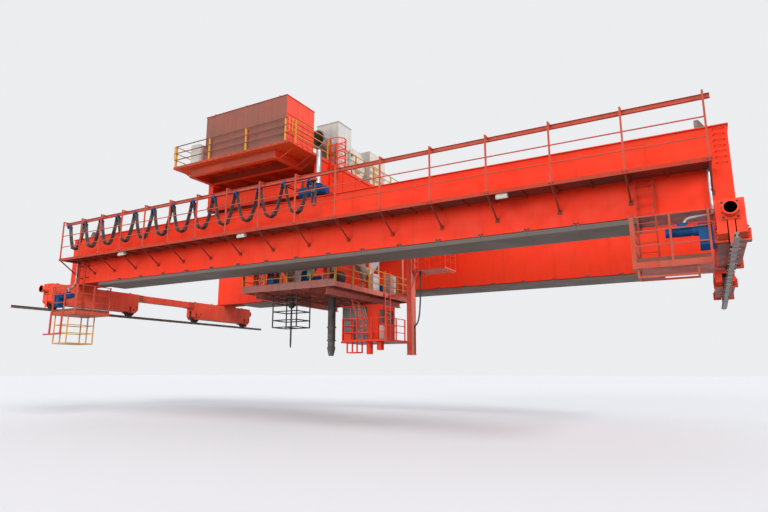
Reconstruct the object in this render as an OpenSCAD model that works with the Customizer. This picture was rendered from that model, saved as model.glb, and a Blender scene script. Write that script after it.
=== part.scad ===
// Overhead double-girder bridge crane with a furnace-tending trolley.
// The origin lies on the flat foot of the left runway rail, halfway along it.
// X runs across the span, Y along the runway and Z up.

/* [Runway] */
// Distance between the centres of the two runway rails
span = 33500; // [26000:100:35000]
// Length of each stretch of runway rail
rail_len = 20000; // [19600:100:30000]
// Height of a runway rail
rail_h = 150; // [120:1:170]
// Width of the runway rail's head
rail_head = 100; // [80:1:120]
// Width of the runway rail's flat foot
rail_foot = 150; // [130:1:170]

/* [End trucks] */
// Width of a truck box
truck_w = 760; // [600:10:900]
// Height of a truck box
truck_h = 1170; // [1000:10:1400]
// Length of one truck box along the runway
truck_len = 5800; // [5400:10:6200]
// Height of the underside of a truck box over the rail foot
truck_lift = 380; // [300:5:420]
// Length of the link beam between the two boxes of a truck
link_len = 4700; // [4000:10:5400]
// Depth of the link beam
link_h = 400; // [300:10:500]
// Tread diameter of a runway wheel
wheel_d = 700; // [600:10:760]
// Distance from a box end to the wheel axle
wheel_inset = 400; // [390:5:600]
// Diameter of a runway wheel's axle
axle_d = 120; // [90:1:160]
// Diameter of an end buffer
buffer_d = 420; // [250:5:480]
// Length of an end buffer
buffer_len = 330; // [200:5:380]

/* [Girders] */
// Outer width of a box girder over its flanges
girder_w = 1600; // [1300:10:1800]
// Depth of a box girder
girder_h = 2770; // [2400:10:3000]
// Height of a girder's underside over the rail foot
girder_lift = 1650; // [1560:5:1900]
// Distance between the centres of the two girders
girder_gauge = 11900; // [11000:10:12200]
// Length of a girder beyond each runway rail
girder_over = 300; // [200:10:380]
// Thickness of a girder flange
flange_t = 40; // [25:1:60]
// Width by which a flange stands out beyond the web
flange_lip = 60; // [40:1:100]
// Distance between the small gussets along the inner webs
gusset_pitch = 500; // [500:10:3000]
// Height of the rail that the trolley runs on
trolley_rail_h = 120; // [90:1:150]
// Depth of the tray that shields a girder's underside from heat
shield_h = 210; // [120:5:240]
// Width by which the shield tray stands out beyond the flange
shield_lip = 70; // [40:1:120]
// Length of one panel of the shield tray
shield_panel = 1756; // [900:1:2400]

/* [Walkways] */
// Height of a walkway's floor over the girder's underside
walk_lift = 1370; // [1000:10:1900]
// Width of a walkway from the girder's web
walk_w = 1160; // [900:10:1300]
// Amount by which each next bay grows
bay_growth = 47; // [0:1:60]
// Number of posts along the walkway
posts = 17; // [14:1:18]
// Height of the tall posts that carry the cable rail
tall_post = 2200; // [2100:10:2300]
// Height of a plain handrail
hand_h = 1100; // [1000:10:1200]
// Thickness of a railing post
post_t = 60; // [40:1:80]
// Thickness of a railing bar
bar_t = 36; // [24:1:45]

/* [Festoon] */
// Number of cable loops between the left end and the trolley
loops = 11; // [11:1:11]
// Distance between two neighbouring cable carriers
loop_pitch = 1450; // [1300:1:1480]
// Depth to which each cable loop hangs
loop_depth = 1400; // [1000:10:1450]
// Width of the bundle of flat cables
bundle_w = 240; // [160:5:280]
// Thickness of the bundle of flat cables
bundle_t = 90; // [50:1:120]

/* [Trolley] */
// Place of the trolley's centre across the span
trolley_x = 13800; // [13700:10:13900]
// Length of the upper deck across the span
deck_len = 7300; // [7000:10:7600]
// Height of the upper deck's floor over the girder top
deck_lift = 2180; // [2000:10:2400]
// Overhang of the upper deck beyond the near rail
deck_over = 2550; // [2300:10:2700]
// Depth of a deep cross girder of the trolley
cross_h = 1430; // [1200:10:1500]
// Width of a deep cross girder of the trolley
cross_w = 420; // [300:10:500]
// Wheelbase of the trolley
trolley_base = 5900; // [5400:10:6000]
// Tread diameter of a trolley wheel
trolley_wheel_d = 500; // [420:10:520]
// Height of the dust collector box
dust_h = 2250; // [1600:10:2400]
// Length of the dust collector box
dust_len = 4980; // [4000:10:5400]
// Depth of the dust collector box
dust_w = 2050; // [1200:10:2100]

/* [Lower deck] */
// Height of the lower deck's floor over the rail foot
low_z = 800; // [780:5:900]
// Length of the lower deck across the span
low_len = 5800; // [5600:10:5850]
// Width of the lower deck along the runway
low_w = 7900; // [7600:10:8100]
// Depth of the lower deck's edge channel
low_edge = 240; // [180:5:260]
// Width of a square column that hangs the lower deck
column_w = 200; // [140:5:240]

/* [Cab] */
// Length of the cab across the span
cab_len = 2200; // [1900:10:2300]
// Width of the cab along the runway
cab_w = 1900; // [1600:10:2000]
// Height of the cab
cab_h = 1900; // [1800:10:2000]
// Thickness of the cab's posts and walls
cab_t = 70; // [50:1:100]

/* [Tools] */
// Outer diameter of the fixed suction guide pipe
guide_d = 420; // [360:1:460]
// Wall of the suction pipes
pipe_t = 9; // [6:1:14]
// Gap all round between the sliding pipe and its guide
pipe_gap = 6; // [5:1:10]
// Size of the service mast across the span
mast_x = 280; // [220:5:300]
// Size of the service mast along the runway
mast_y = 500; // [400:5:560]

/* [Hidden] */
gap = 0.3;
beam_sides = 8;
round_fn = 32;

truck_top = truck_lift + truck_h;
truck_in = link_len / 2;
truck_out = truck_in + truck_len;
axle_z = rail_h + wheel_d / 2 + gap;
wheel_w = rail_head + 70;
truck_chamfer = 150;
truck_seams = 2;
seam_t = 8;
seam_w = 60;
link_w = 500;
link_drop = 20;
splice_len = 420;
splice_t = 50;
sweep_gap = 25;
sweep_t = 20;
saddle_len = 1240;
saddle_inset = 40;
end_plate_h = 620;
buffer_drop = 340;
wheel_flange = 35;
wheel_flange_t = 22;
slot_w = wheel_w + 60;
slot_r = wheel_d / 2 + wheel_flange + 30;
bearing_w = 90;
bearing_s = 360;
axle_len = truck_w + 2 * bearing_w - 20;
runway_y = [-truck_out + wheel_inset, -truck_in - wheel_inset,
    truck_in + wheel_inset, truck_out - wheel_inset];

girder_y = girder_gauge / 2;
girder_top = girder_lift + girder_h;
girder_x0 = -girder_over;
girder_x1 = span + girder_over;
web_end = 40;
ledge_drop = 300;
ledge_w = 160;
ledge_t = 20;
gusset_h = 300;
gusset_t = 16;
web_y = girder_y + girder_w / 2 - flange_lip;
web_in = girder_y - girder_w / 2 + flange_lip;
shield_end = 2600;
shield_wall = 20;
shield_gap = 40;
hanger_w = 50;
hanger_gap = 60;
hanger_foot = 60;
hanger_up = 90;
rail_top = girder_top + trolley_rail_h;
trolley_rail_head = 70;
trolley_rail_end = 700;
stop_gap = 60;
stop_len = 420;
stop_face = 140;
stop_w = 360;

walk_z = girder_lift + walk_lift;
walk_y = web_y + walk_w;
post_x0 = 320;
walk_x1 = span - post_x0 - 20;
bay_first = (walk_x1 - post_x0 - bay_growth * (posts - 1) * (posts - 2) / 2) / (posts - 1);
floor_t = 30;
foot_t = 20;
joist_w = 80;
joist_h = 90;
fascia_t = 50;
fascia_h = 110;
brace_d = 70;
brace_in = 60;
shoe_t = 40;
shoe_z = [-90, 60];
hand_rails = [0.36, 0.68, 1];
function post_x(i) = post_x0 + i * bay_first + bay_growth * i * (i - 1) / 2;
ladder_w = 550;
bridge_ladder_x = [1130, span - 2300];
bridge_ladder_y = -web_y - 200;
ladder_stays = [girder_lift + 300, girder_lift + 1000];
stay_w = 40;
stay_h = 50;
walk_rails = [walk_z + 650, walk_z + 1300];
lamp_x = [post_x(3) + 110, post_x(7) + 960, post_x(13) + 520];
lamp_w = 400;
plat_len = 2200;
plat_inset = 530;
plat_x0 = -plat_inset - plat_len;
plat_y0 = -truck_out + 50;
plat_y1 = plat_y0 + 2050;
plat_z = -100;
plat_t = 190;
plat_hand_h = 1450;
plat_bracket_y = [plat_y0 + 650, plat_y1 - 150];
plat_bracket_z = [truck_lift + 120, truck_lift + 370];
plat_bracket_w = 120;
under_frame = [120, 80, 1630, 720];
under_bar = 60;
under_drop = 290;
side_frame = [plat_inset + 40, 1020, 1200];
side_bar = 80;
side_arm = 500;
cage_h = 1560;
cage_w = 1250;
cage_inset = [200, 100, 350];
cage_rails = [0, 560, 1000];
cage_post = 50;
cage_bar = 40;
cage_floor = 30;
corner = 2;
cable_z = walk_z + tall_post - 190;
cable_y = walk_y - 300;
cable_rail_h = 160;
cable_rail_w = 100;
cable_rail_t = 14;
cable_rail_web = 12;
cable_rail_over = 200;
brace_drop = 820;

carrier_len = 180;
carrier_h = 150;
loop_x0 = 500;
loop_top = cable_z - carrier_h;
loop_steps = 20;
roller_d = 46;
roller_fn = 16;
plate_t = 12;
tow_x = loop_x0 + loops * loop_pitch;
motor_fins = 12;
bridge_motor = [380, 460, 810, 330, 330, 900];
trolley_motor = [700, 460, 480, 230, 400, 760];
pump_motor = [420, 520, 620, 250, 340, 560];
fin_t = 16;

deck_z = girder_top + deck_lift;
deck_t = 120;
deck_x0 = trolley_x - deck_len / 2;
deck_x1 = trolley_x + deck_len / 2;
deck_y0 = -girder_y - deck_over;
deck_y1 = girder_y + 700;
cross_z0 = deck_z - deck_t - cross_h;
cross_y = girder_y + 250;
sill_h = 750;
sill_w = 360;
sill_z0 = rail_top + 310;
trolley_axle_z = rail_top + trolley_wheel_d / 2 + gap;
trolley_wheel_w = trolley_rail_head + 60;
trolley_axle_d = 90;
trolley_slot = trolley_wheel_w + 40;
trolley_bearing = 240;
trolley_wheel_x = [trolley_x - trolley_base / 2, trolley_x + trolley_base / 2];
wheel_bay = trolley_wheel_d + 120;
cross_lip = 40;
tie_w = 320;
rib_t = 16;
rod_d = 45;
cap_lip = 30;
cap_t = 25;
dust_inset = [350, 170];
dust_ribs = 6;
dust_strip = [80, 10];
dust_strips = 3;
dust_rib_share = 0.62;
dust_rib_d = 70;
air_y0 = -4490;
air_y1 = -3310;
air_h = 2450;
fan_r = 850;
fan_w = 600;
duct_x = deck_x1 - 570;
duct_z = deck_z + 1120;
duct_d = 860;
duct_len = 1250;
vent_d = 230;
vent_z = rail_top + 590;
vent_h = 1600;
deck_ladder_y = -5200;
deck_ladder_w = 450;
hoop_d = 760;
hoop_reach = 300;
hoop_pitch = 350;
hoop_bar = 30;
deck_cabinet = [550, 800, 1050];
fan_cabinet = [800, 1650, 1950];
low_cabinet = [500, 700, 1000];
far_cabinet = [450, 600, 1200];
floor_beam_h = 430;
floor_beam_w = 240;
beam_inset = [850, 1100];
beam_rows = [400, 1750, 3800];
web_t = 24;
beam_flange_t = 26;

low_x1 = deck_x1 + 150;
low_x0 = low_x1 - low_len;
low_y0 = -5000;
low_y1 = low_y0 + low_w;
low_t = 40;
low_side = 60;
low_bays = 7;
low_pitch = (low_w - 2 * low_side) / low_bays;
function rib_y(k) = low_y0 + low_side + k * low_pitch;
hopper_r = 800;
hopper_at = [[low_x0 + 1250, low_y0 + 2700, low_z + 450], [low_x1 - 1650, low_y0 + 5500, low_z + 900]];
vessel_at = [low_x0 + 2650, low_y0 + 2000];
vessel_d = 620;
vessel_h = 1050;
pump_at = [low_x0 + 3550, low_y0 + 1600];
low_main_h = 280;
low_main_w = 200;
low_under = low_z - low_edge;
tie_y = [-4500, 2400];
tie_h = 500;
columns = [[low_x0 + 500, tie_y[0]], [low_x1 - 850, tie_y[0]], [low_x0 + 500, tie_y[1]],
    [deck_x1 - cross_w / 2, -1400], [deck_x1 - cross_w / 2, 2400]];
guide_hole = 40;
cabinet_set = [[[deck_x0 + 900, deck_y0 + 250, deck_z], deck_cabinet],
    [[deck_x1 - 150 - fan_cabinet[0], air_y1 + 1950, deck_z], fan_cabinet],
    [[low_x1 - 400 - low_cabinet[0], low_y0 + 4200, low_z], low_cabinet],
    [[low_x1 - 350 - far_cabinet[0], low_y0 + 6100, low_z], far_cabinet]];

cab_x1 = low_x1;
cab_x0 = cab_x1 - cab_len;
cab_y0 = -1000;
cab_z1 = 100;
cab_z0 = cab_z1 - cab_h;
cab_solid = 650;
cab_bay = 520;
cab_slab = 80;
cab_bar = 50;
cab_sill_z = cab_z0 + 520;
cab_rail_z = cab_z0 + 1150;
cab_windows = [[230, 770, 950, 1650], [1050, 1700, 900, 1650]];
cab_door = [120, 880];
door_t = 20;
glass_t = 12;
stair_treads = 7;
stairs_x = 1080;
stairs_run = 780;
stairs_y = [cab_y0 - 900, cab_y0 - 300];
stairs_hand = 850;
stringer = 90;
tread = [120, 24];
stage_t = 90;
stage_z = cab_z0 - gap;
stage_x0 = cab_x0 - 60;
stage_front = cab_x0 + 700;
stage_x1 = cab_x1 + 1150;
stage_y0 = cab_y0 - 1100;
stage_y1 = cab_y0 + cab_w + 200;
rack = [100, 300, 660, 560];
rack_h = 560;
rack_bar = 60;
drum = [1330, 600, 620, 330];
stage_box = [250, 300, 420];
stage_box_at = [1800, 500];

suction = [14700, -1000];
guide_z0 = -1750;
guide_z1 = 3400;
slider_len = 4300;

tool_x = low_x0 + 1100;
tool_w = 1600;
tool_y = rib_y(1) - 15;
tool_bar = 50;
tool_d = low_pitch + tool_bar;
tool_h = 1730;
tool_rings = [0, 0.21, 0.47, 0.73, 0.88];
tool_reach = 1000;
tool_rod_r = 45;
mast_x0 = 18810;
mast_y0 = 0;
mast_z0 = -2530;
mast_top = cross_z0 + 300;
basket_t = 60;
basket_z = 1950;
basket_x = 1850;
basket_y = 1500;

paint = "orangered";

// A block between two opposite corners
module block(a, b) {
    translate([min(a[0], b[0]), min(a[1], b[1]), min(a[2], b[2])])
        cube([abs(b[0] - a[0]), abs(b[1] - a[1]), abs(b[2] - a[2])]);
}

// A straight bar with flat sides between two points
module bar(p, q, d, sides = beam_sides) {
    v = q - p;
    h = norm(v);
    translate(p)
        rotate([0, acos(v[2] / h), atan2(v[1], v[0])])
            rotate([0, 0, 180 / sides])
                cylinder(h = h, d = d, $fn = sides);
}

// An upright I-beam along X, hung from height z
module beam_x(x0, x1, y, z, h, w) {
    block([x0, y - w / 2, z - beam_flange_t], [x1, y + w / 2, z]);
    block([x0, y - web_t / 2, z - h], [x1, y + web_t / 2, z]);
    block([x0, y - w / 2, z - h], [x1, y + w / 2, z - h + beam_flange_t]);
}

// An upright I-beam along Y, hung from height z
module beam_y(x, y0, y1, z, h, w) {
    block([x - w / 2, y0, z - beam_flange_t], [x + w / 2, y1, z]);
    block([x - web_t / 2, y0, z - h], [x + web_t / 2, y1, z]);
    block([x - w / 2, y0, z - h], [x + w / 2, y1, z - h + beam_flange_t]);
}

// A rail's cross section, foot down
module rail_section(h, head, foot) {
    web = head * 0.4;
    polygon([[-foot / 2, 0], [foot / 2, 0], [foot / 2, h * 0.08], [web / 2, h * 0.22],
        [web / 2, h * 0.62], [head / 2, h * 0.72], [head / 2, h], [-head / 2, h],
        [-head / 2, h * 0.72], [-web / 2, h * 0.62], [-web / 2, h * 0.22],
        [-foot / 2, h * 0.08]]);
}

// A straight railing along X, standing on height z
module railing_x(x0, x1, y, z, bays, rails = hand_rails, h = hand_h) {
    for (i = [0 : bays])
        block([x0 + (x1 - x0 - post_t) * i / bays, y - post_t / 2, z],
            [x0 + (x1 - x0 - post_t) * i / bays + post_t, y + post_t / 2, z + h]);
    for (k = rails)
        block([x0, y - bar_t / 2, z + h * k - bar_t], [x1, y + bar_t / 2, z + h * k]);
}

// A straight railing along Y, standing on height z
module railing_y(y0, y1, x, z, bays, rails = hand_rails, h = hand_h) {
    for (i = [0 : bays])
        block([x - post_t / 2, y0 + (y1 - y0 - post_t) * i / bays, z],
            [x + post_t / 2, y0 + (y1 - y0 - post_t) * i / bays + post_t, z + h]);
    for (k = rails)
        block([x - bar_t / 2, y0, z + h * k - bar_t], [x + bar_t / 2, y1, z + h * k]);
}

// A ladder between two heights with its width along X
module ladder_x(x, y, z0, z1, w = ladder_w, pitch = 330) {
    for (s = [-1, 1])
        block([x + s * w / 2 - 25, y - 20, z0], [x + s * w / 2 + 25, y + 20, z1]);
    for (z = [z0 + pitch / 2 : pitch : z1 - 60])
        block([x - w / 2, y - 12, z], [x + w / 2, y + 12, z + 24]);
}

// A ladder between two heights with its width along Y
module ladder_y(x, y, z0, z1, w = ladder_w, pitch = 330) {
    for (s = [-1, 1])
        block([x - 20, y + s * w / 2 - 25, z0], [x + 20, y + s * w / 2 + 25, z1]);
    for (z = [z0 + pitch / 2 : pitch : z1 - 60])
        block([x - 12, y - w / 2, z], [x + 12, y + w / 2, z + 24]);
}

module runway_rails() {
    color("dimgray")
        for (x = [0, span])
            translate([x, rail_len / 2, 0])
                rotate([90, 0, 0])
                    linear_extrude(rail_len)
                        rail_section(rail_h, rail_head, rail_foot);
}

// One box of an end truck, with its wheel slots and axle bores
module truck_box(x, y0, y1) {
    half = truck_w / 2;
    difference() {
        union() {
            translate([x - half, 0, 0])
                rotate([90, 0, 90])
                    linear_extrude(truck_w)
                        polygon([[y0, truck_lift + truck_chamfer], [y0 + truck_chamfer, truck_lift],
                            [y1 - truck_chamfer, truck_lift], [y1, truck_lift + truck_chamfer],
                            [y1, truck_top], [y0, truck_top]]);
            for (y = [y0 + wheel_inset, y1 - wheel_inset])
                block([x - half - bearing_w, y - bearing_s / 2, axle_z - bearing_s / 2],
                    [x + half + bearing_w, y + bearing_s / 2, axle_z + bearing_s / 2]);
            for (k = [1 : truck_seams])
                block([x - half - seam_t, y0 + (y1 - y0) * k / (truck_seams + 1) - seam_t, truck_lift + seam_w],
                    [x + half + seam_t, y0 + (y1 - y0) * k / (truck_seams + 1) + seam_t, truck_top]);
        }
        for (y = [y0 + wheel_inset, y1 - wheel_inset]) {
            block([x - slot_w / 2, y - slot_r, 0], [x + slot_w / 2, y + slot_r, axle_z + slot_r]);
            translate([x - truck_w, y, axle_z])
                rotate([0, 90, 0])
                    cylinder(h = 2 * truck_w, d = axle_d + 2 * gap, $fn = round_fn);
        }
    }
}

module end_trucks() {
    for (x = [0, span]) end_truck(x);
}

module end_truck(x) {
    color(paint) {
        truck_box(x, -truck_out, -truck_in);
        truck_box(x, truck_in, truck_out);
        block([x - link_w / 2, -truck_in - 1, truck_top - link_drop - link_h],
            [x + link_w / 2, truck_in + 1, truck_top - link_drop]);
        for (s = [-1, 1]) {
            for (e = [-1, 1])
                block([x + e * link_w / 2, s * (truck_in - splice_len), truck_top - 2 * link_drop - link_h],
                    [x + e * (link_w / 2 + splice_t), s * (truck_in + 1), truck_top - link_drop / 2]);
            block([x - link_w / 2, s * truck_out, truck_top - end_plate_h],
                [x + link_w / 2, s * (truck_out + splice_t), truck_top - splice_t]);
            translate([x, s * (truck_out + splice_t), truck_top - buffer_drop])
                rotate([s * -90, 0, 0]) buffer_shape();
            block([x - wheel_w / 2, s * truck_out, rail_h + sweep_gap],
                [x + wheel_w / 2, s * (truck_out + sweep_t), truck_top - end_plate_h + 1]);
            block([x - truck_w / 2 + saddle_inset, s * girder_y - saddle_len / 2, truck_top],
                [x + truck_w / 2 - saddle_inset, s * girder_y + saddle_len / 2, girder_lift]);
        }
    }
}

// A stepped end buffer that points along Z
module buffer_shape() {
    cylinder(h = buffer_len * 0.3, d = buffer_d, $fn = round_fn);
    cylinder(h = buffer_len * 0.85, d = buffer_d * 0.72, $fn = round_fn);
    translate([0, 0, buffer_len * 0.82]) cylinder(h = buffer_len * 0.18, d = buffer_d, $fn = round_fn);
}

module runway_wheel(x, y) {
    color("dimgray")
        translate([x, y, axle_z])
            rotate([0, 90, 0])
                wheel_shape(wheel_d, wheel_w, wheel_flange, wheel_flange_t, axle_d, axle_len);
}

// A double-flanged wheel with a recessed disc, its hub and axle lying along Z
module wheel_shape(tread, w, flange, flange_t, axle, axle_l) {
    r = tread / 2;
    rim = r * 0.8;
    hub = axle * 0.9;
    disc = w * 0.3;
    rotate_extrude($fn = 48)
        polygon([[0, -axle_l / 2], [axle / 2, -axle_l / 2], [axle / 2, -w / 2 - 8], [hub, -w / 2 - 8],
            [hub, -disc / 2], [rim, -disc / 2], [rim + 15, -w / 2], [r + flange, -w / 2],
            [r + flange, -w / 2 + flange_t * 0.6], [r, -w / 2 + flange_t], [r, w / 2 - flange_t],
            [r + flange, w / 2 - flange_t * 0.6], [r + flange, w / 2], [rim + 15, w / 2],
            [rim, disc / 2], [hub, disc / 2], [hub, w / 2 + 8], [axle / 2, w / 2 + 8],
            [axle / 2, axle_l / 2], [0, axle_l / 2]]);
}

// A box girder on side s, with its inner ledge and gussets
module girder(s) {
    ledge_z = girder_top - ledge_drop - ledge_t;
    color(paint) {
        block([girder_x0 + web_end, s * web_in, girder_lift],
            [girder_x1 - web_end, s * web_y, girder_top]);
        for (z = [girder_lift, girder_top - flange_t])
            block([girder_x0, s * (girder_y - girder_w / 2), z],
                [girder_x1, s * (girder_y + girder_w / 2), z + flange_t]);
        for (x = [shield_end : gusset_pitch : span - shield_end])
            block([x - gusset_t / 2, s * web_in, ledge_z - gusset_h],
                [x + gusset_t / 2, s * (web_in - ledge_w), ledge_z]);
        block([girder_x0 + web_end, s * web_in, ledge_z],
            [girder_x1 - web_end, s * (web_in - ledge_w), ledge_z + ledge_t]);
    }
}

module trolley_rails() {
    stop_h = trolley_rail_h + 400;
    for (s = [-1, 1]) {
        color("gray")
            translate([trolley_rail_end, s * girder_y, girder_top])
                rotate([90, 0, 90])
                    linear_extrude(span - 2 * trolley_rail_end)
                        rail_section(trolley_rail_h, trolley_rail_head, trolley_rail_head * 1.7);
        color(paint)
            for (m = [0, 1])
                translate([m * span, 0, 0])
                    mirror([m, 0, 0])
                        translate([trolley_rail_end - stop_gap, s * girder_y + stop_w / 2, girder_top])
                            rotate([90, 0, 0])
                                linear_extrude(stop_w)
                                    polygon([[0, 0], [-stop_len, 0], [-stop_len, 60],
                                        [-stop_face, stop_h], [0, stop_h]]);
    }
}

// The tray of heat-shield panels under a girder
module heat_shields() {
    for (s = [-1, 1]) heat_shield(s);
}

module heat_shield(s) {
    half = girder_w / 2 + shield_lip;
    z1 = girder_lift - gap;
    z0 = z1 - shield_h;
    color("dimgray") {
        difference() {
            block([shield_end, s * girder_y - half, z0],
                [span - shield_end, s * girder_y + half, z1 - shield_gap]);
            block([shield_end + shield_wall, s * girder_y - half + shield_wall, z0 + shield_wall],
                [span - shield_end - shield_wall, s * girder_y + half - shield_wall, z1]);
        }
        for (x = [shield_end + shield_panel : shield_panel : span - shield_end - 4 * hanger_w])
            for (e = [-1, 1])
                for (d = [-hanger_gap, hanger_gap])
                    block([x + d - hanger_w / 2, s * girder_y + e * (half - shield_wall), z0 + hanger_foot],
                        [x + d + hanger_w / 2, s * girder_y + e * (girder_w / 2 + gap),
                            girder_lift + hanger_up]);
    }
}

module walkway_floor(s) {
    x0 = post_x0 - post_t;
    under = walk_z - floor_t;
    color("dimgray")
        block([x0, s * web_y, under], [walk_x1 + post_t, s * walk_y, walk_z]);
    color(paint) {
        block([x0, s * (walk_y - fascia_t), under - fascia_h], [walk_x1 + post_t, s * walk_y, under]);
        for (i = [0 : posts - 1]) {
            x = post_x(i);
            block([x - joist_w / 2, s * web_y, under - joist_h],
                [x + joist_w / 2, s * (walk_y - fascia_t), under]);
            bar([x, s * (walk_y - brace_in), walk_z - fascia_h],
                [x, s * (web_y + brace_in / 2), walk_z - brace_drop], brace_d);
            block([x - brace_d, s * web_y, walk_z - brace_drop + shoe_z[0]],
                [x + brace_d, s * (web_y + shoe_t), walk_z - brace_drop + shoe_z[1]]);
        }
        for (i = [0 : posts - 2]) {
            m = (post_x(i) + post_x(i + 1)) / 2;
            block([m - joist_w / 3, s * web_y, under - joist_h * 0.8],
                [m + joist_w / 3, s * (walk_y - fascia_t), under]);
        }
    }
}

module walkway_near() {
    walkway_floor(-1);
    top = walk_z - floor_t - gap;
    half = ladder_w / 2;
    color(paint)
        for (x = bridge_ladder_x) {
            ladder_x(x, bridge_ladder_y, plat_z + gap, top);
            for (z = ladder_stays)
                for (e = [-half, half])
                    block([x + e - stay_w / 2, bridge_ladder_y, z],
                        [x + e + stay_w / 2, -web_y - gap, z + stay_h]);
        }
    color("silver")
        for (x = lamp_x) translate([x, -walk_y + 150, top]) lamp_shape();
}

// A floodlight that hangs tilted on a short bracket, its top at height zero
module lamp_shape() {
    block([-lamp_w / 2 + 40, -20, -120], [-lamp_w / 2 + 50, 20, 0]);
    block([lamp_w / 2 - 50, -20, -120], [lamp_w / 2 - 40, 20, 0]);
    block([-lamp_w / 2 + 40, -20, -10], [lamp_w / 2 - 40, 20, 0]);
    translate([-lamp_w / 2, 0, -190])
        rotate([90, 0, 90])
            linear_extrude(lamp_w)
                polygon([[-60, 100], [70, 100], [120, -40], [-100, -110], [-120, -60]]);
}

module walkway_far() {
    walkway_floor(1);
}

module bridge_railings() {
    color(paint)
        railing_x(post_x0 - post_t, walk_x1 + post_t, walk_y - post_t / 2, walk_z, posts - 1, [0.5, 1]);
    color("goldenrod")
        for (m = [0, 1])
            translate([m * span, 0, 0])
                mirror([1 - m, 0, 0]) {
                    railing_x(plat_x0 + post_t + corner, -plat_inset, plat_y0 + post_t / 2, plat_z, 2,
                        hand_rails, plat_hand_h);
                    railing_y(plat_y0, plat_y1, plat_x0 + post_t / 2, plat_z, 2,
                        hand_rails, plat_hand_h);
                }
}

// Tall posts along the near walkway with the I-beam that the cables run on
module festoon_frame() {
    z1 = walk_z + tall_post;
    x0 = post_x0 - cable_rail_over;
    x1 = walk_x1 + cable_rail_over;
    web = cable_rail_web / 2;
    edge = cable_rail_w / 2;
    color(paint) {
        for (i = [0 : posts - 1]) {
            x = post_x(i);
            block([x - post_t / 2, -walk_y, walk_z], [x + post_t / 2, -walk_y + post_t, z1]);
            block([x - post_t, -walk_y, walk_z], [x + post_t, -walk_y + 2 * post_t, walk_z + foot_t]);
            block([x - post_t / 2, -walk_y, z1 - post_t], [x + post_t / 2, -cable_y + 60, z1]);
            block([x - 20, -cable_y - 20, cable_z + cable_rail_h], [x + 20, -cable_y + 20, z1]);
            bar([x, -walk_y + post_t, z1 - 240], [x, -cable_y - 40, z1 - post_t / 2], bar_t, 4);
        }
        for (z = walk_rails)
            block([post_x0, -walk_y + 12, z], [walk_x1, -walk_y + 12 + bar_t, z + bar_t]);
        block([x0, -cable_y - edge, cable_z], [x1, -cable_y + edge, cable_z + cable_rail_t]);
        block([x0, -cable_y - edge, cable_z + cable_rail_h - cable_rail_t],
            [x1, -cable_y + edge, cable_z + cable_rail_h]);
        block([x0, -cable_y - web, cable_z], [x1, -cable_y + web, cable_z + cable_rail_h]);
    }
}

// Platform for a travel drive, drawn for the right end
module platform_shape() {
    color(paint) {
        block([plat_x0, plat_y0, plat_z - plat_t], [-plat_inset, plat_y1, plat_z]);
        for (y = plat_bracket_y)
            translate([0, y, 0])
                rotate([90, 0, 0])
                    mirror([0, 0, 1])
                        linear_extrude(plat_bracket_w)
                            polygon([[-plat_inset - 1, plat_z - plat_t],
                                [-truck_w / 2 - gap, plat_bracket_z[0]],
                                [-truck_w / 2 - gap, plat_bracket_z[1]], [-plat_inset - 1, plat_z]]);
    }
}

module drive_platforms() {
    translate([span, 0, 0]) platform_shape();
    mirror([1, 0, 0]) platform_shape();
    x0 = span + plat_x0 + under_frame[0];
    x1 = x0 + under_frame[2];
    y0 = plat_y0 + under_frame[1];
    y1 = y0 + under_frame[3];
    z1 = plat_z - plat_t - gap;
    z0 = z1 - under_drop;
    b = under_bar;
    s0 = side_frame[0];
    s1 = s0 + side_frame[1];
    side_z = plat_z - side_frame[2];
    color("brown") {
        for (y = [y0, y1]) {
            block([x0, y, z0], [x1 + b, y + b, z0 + b]);
            for (x = [x0, x1])
                block([x, y, z0], [x + b, y + b, z1]);
        }
        for (x = [x0, x1])
            block([x, y0, z0], [x + b, y1 + b, z0 + b]);
        for (x = [s0, s1])
            block([x, plat_y0 - side_bar - gap, side_z], [x + side_bar, plat_y0 - gap, plat_z]);
        block([s0 - side_arm, plat_y0 - side_bar - gap, side_z - side_bar],
            [s1 + side_bar, plat_y0 - gap, side_z + 1]);
    }
}

module service_cage() {
    z0 = plat_z - plat_t - gap - cage_h;
    z1 = plat_z - plat_t - gap;
    x0 = plat_inset + cage_inset[0];
    x1 = x0 + cage_w;
    y0 = plat_y0 + cage_inset[1];
    y1 = plat_y1 - cage_inset[2];
    p = cage_post;
    b = cage_bar;
    e = (cage_post - cage_bar) / 2;
    color("goldenrod") {
        for (x = [x0, (x0 + x1) / 2, x1 - p])
            for (y = [y0, y1 - p])
                block([x, y, z0], [x + p, y + p, z1]);
        for (h = cage_rails) {
            for (y = [y0 + e, y1 - p + e])
                block([x0, y, z0 + h], [x1, y + b, z0 + h + b]);
            for (x = [x0 + e, x1 - p + e])
                block([x, y0, z0 + h], [x + b, y1, z0 + h + b]);
        }
        block([x0, y0, z0 - cage_floor], [x1, y1, z0 + 1]);
    }
}

module bridge_drives() {
    translate([span, 0, 0]) bridge_drive_shape();
    mirror([1, 0, 0]) bridge_drive_shape();
}

// A geared travel motor, drawn for the right end
module bridge_drive_shape() {
    x1 = -truck_w / 2 - bearing_w - gap;
    y = runway_y[0];
    color("royalblue")
        translate([x1, y, axle_z])
            mirror([1, 0, 0]) gear_motor(bridge_motor);
}

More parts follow.
